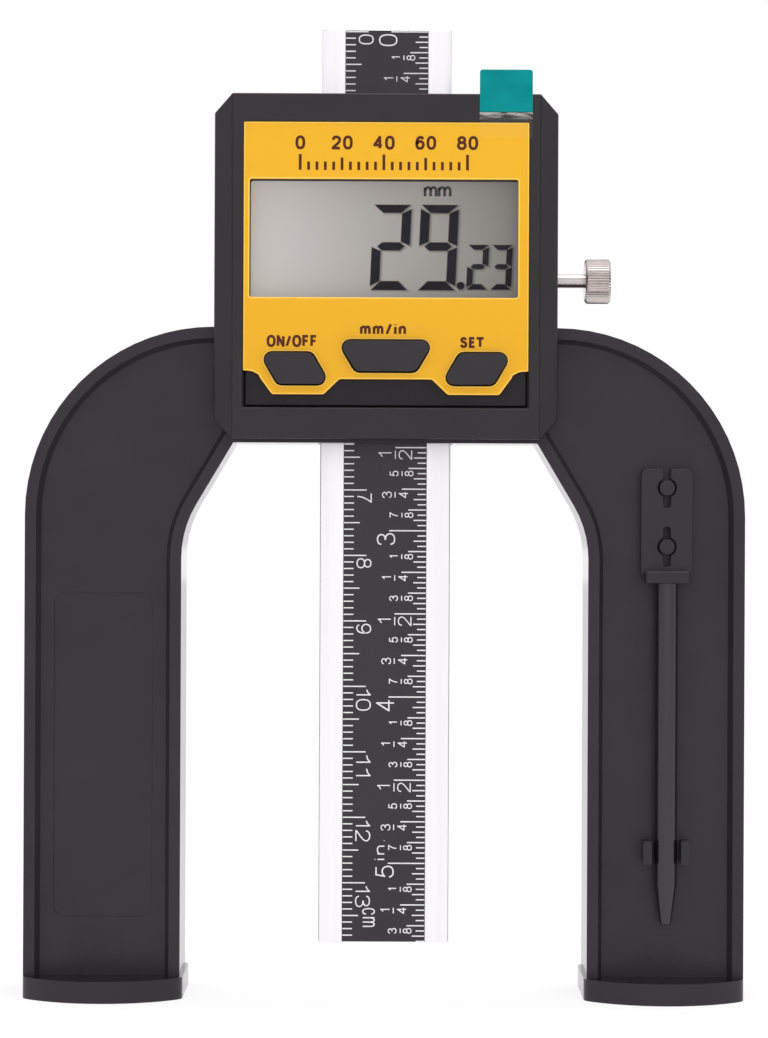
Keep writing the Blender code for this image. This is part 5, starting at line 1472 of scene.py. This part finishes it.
@dataclass
class LockScrew:
    """The thumb screw with its straight-knurled knob; its axis runs along x, and sizes are in millimetres."""

    height: float = 109.2
    start: float = 30.5
    end: float = 34.3
    radius: float = 3.45
    shaft: float = 1.07
    lead: float = 0.2
    corner: Sequence[Point] = ((0.0, 0.55), (0.12, 0.4), (0.3, 0.0))
    dish: Sequence[Point] = ((0.0, 1.2), (0.25, 0.9), (0.25, 0.05))
    ridges: int = 50
    ridge: float = 0.2
    chamfer: float = 0.3
    sides: int = 64

    def ridge_shape(self) -> Piece:
        """One ridge of the knurl, its foot on the core and its ends chamfered."""
        core = self.radius - self.ridge
        foot, sunk, half = core - 0.1, core - 0.15, math.pi * core / self.ridges
        tops = ((self.start, foot), (self.start + self.chamfer, self.radius),
                (self.end - self.chamfer, self.radius), (self.end, foot))
        rows = [[(x, -half, sunk), (x, 0, top), (x, half, sunk)] for x, top in tops]
        return from_bmesh("ridge", skinned(rows))

    def ring_tree(self) -> tuple[Tree, dict[str, str]]:
        """A tree that repeats a shape round the x axis.

        Returns:
            The tree, and the identifiers of its inputs.
        """
        tree = bpy.data.node_groups.new("knurl", "GeometryNodeTree")
        names = group_inputs(tree, {"Shape": "NodeSocketObject", "Count": "NodeSocketInt",
                                    "Finish": "NodeSocketMaterial"})
        given = add(tree, "NodeGroupInput").outputs
        values = {"Count": given["Count"], "Offset": (0, 0, 0)}
        points = add(tree, "GeometryNodeMeshLine", values, mode="OFFSET")
        index = add(tree, "GeometryNodeInputIndex").outputs[0]
        part = add(tree, "ShaderNodeMath", {0: index, 1: given["Count"]}, operation="DIVIDE").outputs[0]
        angle = add(tree, "ShaderNodeMath", {0: part, 1: 2 * math.pi}, operation="MULTIPLY").outputs[0]
        turn = add(tree, "ShaderNodeCombineXYZ", {"X": angle}).outputs[0]
        shape = add(tree, "GeometryNodeObjectInfo", {"Object": given["Shape"]}).outputs["Geometry"]
        values = {"Points": points.outputs[0], "Instance": shape, "Rotation": turn}
        realized(tree, add(tree, "GeometryNodeInstanceOnPoints", values).outputs[0], given["Finish"])
        return tree, names

    def turned(self, low: float) -> Shape:
        """Turns the screw's profile about its axis, closed at both ends.

        Args:
            low: The x of the screw's inner end.

        Returns:
            The screw without its knurl.
        """
        core = self.radius - self.ridge
        profile = [(low, self.shaft - self.lead), (low + self.lead, self.shaft), (self.start, self.shaft),
                   *((self.start + x, core - r) for x, r in self.corner),
                   *((self.end - x, core - r) for x, r in reversed(self.corner)),
                   *((self.end - x, r) for x, r in self.dish)]
        turns = [2 * math.pi * i / self.sides for i in range(self.sides)]
        return skinned([[(x, r * math.cos(t), r * math.sin(t)) for t in turns] for x, r in profile])

    def build(self) -> None:
        """Makes the screw, and dresses its pad and its insert."""
        ridge = self.ridge_shape()
        tree, names = self.ring_tree()
        values = {"Shape": ridge, "Count": self.ridges, "Finish": Finishes.SCREW.value.material()}
        ring = grown("ring", tree, names, values)
        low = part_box("lock_screw")[0].x / MM
        piece = joined("lock_screw_knurled", [self.turned(low), ring.data.copy()])
        for spare in (ridge, ring):
            bpy.data.objects.remove(spare)
        piece.data.transform(Matrix.Translation((0, 0, self.height * MM)))
        smooth(piece, 25)
        settle(piece, Finishes.SCREW, "lock_screw_body", "lock_screw")
        Finishes.BRASS.on_nodes("lock_insert", "lock_pad")


@dataclass
class Probe:
    """The clip-on probe stored in the right leg; sizes in millimetres."""

    rounding: float = 0.1
    collar: Sequence[float] = (42.65, 62.7, 65.0)
    collar_half: float = 3
    collar_corner: float = 0.6
    slack: float = 0.01

    def build(self) -> None:
        """Makes the probe with rounded edges, rounder corners on its collar, and a glossier rod."""
        piece = cad_copy("depth_probe")
        middle, low, high = self.collar
        corners = []
        with edited(piece) as shape:
            for edge in shape.edges:
                a, b = (v.co / MM for v in edge.verts)
                upright = abs(a.x - b.x) + abs(a.y - b.y) < self.slack
                within = low < min(a.z, b.z) and max(a.z, b.z) < high and abs(a.x - middle) > self.collar_half
                if upright and within and edge.is_convex and len(edge.link_faces) == 2:
                    corners.append(edge)
            LOG.info("collar corners: %d", len(corners))
            bmesh.ops.bevel(shape, geom=corners, offset=self.collar_corner * MM, offset_type="OFFSET",
                            segments=4, profile=0.5, affect="EDGES", clamp_overlap=True)
        piece = rounded(piece, self.rounding, even=True)
        settle(piece, Finishes.ARCH, "probe", "depth_probe")
        Finishes.ROD.also(piece, lambda face: face.center.z < low * MM)


@dataclass
class Insides:
    """What the head holds: the board with its chip, the cell with its contacts, and the small screws."""

    screws: int = 4

    def build(self) -> None:
        """Dresses the CAD nodes, which keep their shapes."""
        Finishes.BOARD.on_nodes("circuit_board")
        Finishes.CHIP.on_nodes("controller_chip")
        Finishes.RUBBER.on_nodes("lcd_connector_lower", "lcd_connector_upper")
        Finishes.CELL.on_nodes("battery_cell")
        Finishes.BRONZE.on_nodes("contact_negative", "contact_positive")
        for i in range(1, self.screws + 1):
            Finishes.ZINC.on_nodes(f"cover_screw_{i}", f"board_screw_{i}")


@dataclass
class Studio:
    """The camera, the soft lights, and the pale floor under the gauge.

    The camera's place is in millimetres, and the lamps' in metres. Only the top lamp shows in the gloss,
    since the side ones would wash out the head's top in a low view. The levels in shine run from the front
    to the back.
    """

    distance: float = 459.05
    height: float = 72.6
    aside: float = -0.15
    roll: float = 0.25
    lens: float = 103.77
    film: float = 36
    clip: Point = (0.01, 20)
    box: float = 0.8
    aim: Sequence[float] = (0, 0, 0.08)
    lamps: Sequence[tuple[str, Sequence[float], float, bool]] = (
        ("right", (1.0, 0.5, 0.35), 8.5, False), ("left", (-1.0, 0.5, 0.35), 7.0, False),
        ("top", (0.1, -0.25, 1.15), 5.5, True))
    soft: float = 0.9
    shine: Sequence[Point] = ((0.0, 1.22), (0.1, 0.8), (0.25, 0.5), (0.5, 0.95), (0.8, 1.1), (1.0, 1.35))
    floor_size: float = 3
    shadow: Point = (0.09, 0.4)
    fibre: float = 900.0

    def camera(self) -> None:
        """Puts the camera where the photograph was taken from."""
        data = bpy.data.cameras.new("camera")
        data.lens, data.sensor_width, data.sensor_fit = self.lens, self.film, "AUTO"
        data.clip_start, data.clip_end = self.clip
        camera = bpy.data.objects.new("camera", data)
        camera.location = Vector((self.aside, -self.distance, self.height)) * MM
        camera.rotation_euler = (math.pi / 2, -math.radians(self.roll), 0)
        bpy.context.scene.collection.objects.link(camera)
        bpy.context.scene.camera = camera

    def lamp(self, name: str, place: Sequence[float], power: float, mirrored: bool) -> None:
        """Hangs a square soft box that looks at the gauge, and shows in its gloss if it is mirrored."""
        data = bpy.data.lights.new(name, "AREA")
        data.size, data.energy = self.box, power
        lamp = bpy.data.objects.new(name, data)
        lamp.location = place
        lamp.visible_glossy = mirrored
        lamp.rotation_euler = (Vector(self.aim) - Vector(place)).to_track_quat("-Z", "Y").to_euler()
        bpy.context.scene.collection.objects.link(lamp)

    def world(self) -> None:
        """White for the camera, and soft light all round, which reflections see dimmest near the front."""
        world = bpy.data.worlds.new("studio")
        bpy.context.scene.world = world
        world.use_nodes = True
        tree = world.node_tree
        tree.nodes.clear()
        path = add(tree, "ShaderNodeLightPath").outputs
        kinds = {0: path["Is Camera Ray"], 1: path["Is Transmission Ray"]}
        seen = add(tree, "ShaderNodeMath", kinds, operation="MAXIMUM").outputs[0]
        away = add(tree, "ShaderNodeTexCoord").outputs["Generated"]
        away = add(tree, "ShaderNodeSeparateXYZ", {"Vector": away}).outputs["Y"]
        span = {"Value": away, "From Min": -1.0, "From Max": 1.0}
        ramp = add(tree, "ShaderNodeValToRGB", {0: add(tree, "ShaderNodeMapRange", span).outputs[0]})
        stops = ramp.color_ramp.elements
        for i, (place, level) in enumerate(self.shine):
            stop = stops[i] if i < 2 else stops.new(place)
            stop.position, stop.color = place, (level, level, level, 1)
        soft, shine, white = (
            add(tree, "ShaderNodeBackground", {"Color": colour, "Strength": strength}).outputs[0]
            for colour, strength in ((linear("#ffffff"), self.soft), (ramp.outputs[0], 1.0),
                                     (linear("#ffffff"), 1.0)))
        mix = add(tree, "ShaderNodeMixShader", {0: path["Is Glossy Ray"], 1: soft, 2: shine}).outputs[0]
        mix = add(tree, "ShaderNodeMixShader", {0: seen, 1: mix, 2: white}).outputs[0]
        add(tree, "ShaderNodeOutputWorld", {"Surface": mix})

    def floor(self) -> None:
        """Lays a pale floor that keeps the gauge's shadow."""
        shape = bmesh.new()
        bmesh.ops.create_grid(shape, x_segments=1, y_segments=1, size=self.floor_size)
        piece = from_bmesh("floor", shape)
        material = bpy.data.materials.new("paper_floor")
        tree = fresh_tree(material)
        path = add(tree, "ShaderNodeLightPath").outputs
        kinds = {0: path["Is Camera Ray"], 1: path["Is Glossy Ray"]}
        seen = add(tree, "ShaderNodeMath", kinds, operation="MAXIMUM").outputs[0]
        spot = add(tree, "ShaderNodeTexCoord").outputs["Object"]
        far = add(tree, "ShaderNodeVectorMath", {0: spot}, operation="LENGTH").outputs["Value"]
        near, wide = self.shadow
        values = {"Value": far, "From Min": near, "From Max": wide, "To Min": 0.8, "To Max": 1.0}
        share = add(tree, "ShaderNodeMapRange", values).outputs[0]
        part = add(tree, "ShaderNodeMath", {0: seen, 1: share}, operation="MULTIPLY").outputs[0]
        fibre = add(tree, "ShaderNodeTexNoise", {"Vector": spot, "Scale": self.fibre}).outputs["Fac"]
        rough = add(tree, "ShaderNodeMapRange", {"Value": fibre, "To Min": 0.85, "To Max": 0.95}).outputs[0]
        paper = add(tree, "ShaderNodeBsdfPrincipled", {"Base Color": linear("#f4f4f4"), "Roughness": rough})
        glow = add(tree, "ShaderNodeEmission", {"Color": linear("#ffffff"), "Strength": 1.0})
        mix = add(tree, "ShaderNodeMixShader", {0: part, 1: paper.outputs[0], 2: glow.outputs[0]})
        add(tree, "ShaderNodeOutputMaterial", {"Surface": mix.outputs[0]})
        piece.data.materials.append(material)

    def build(self) -> None:
        """Sets up the studio."""
        self.camera()
        self.world()
        self.floor()
        for lamp in self.lamps:
            self.lamp(*lamp)
        bpy.context.scene.view_settings.view_transform = "Standard"


def main() -> None:
    """Builds the studio and then each sub-assembly."""
    logging.basicConfig(level=logging.INFO, format="%(message)s")
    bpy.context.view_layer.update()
    for part in (Studio(), Arch(), Head(), Face(), Display(), Buttons(), Rule(), LockScrew(), Probe(),
                 Insides()):
        LOG.info("%s", type(part).__name__)
        part.build()


if __name__ == "__main__":
    main()
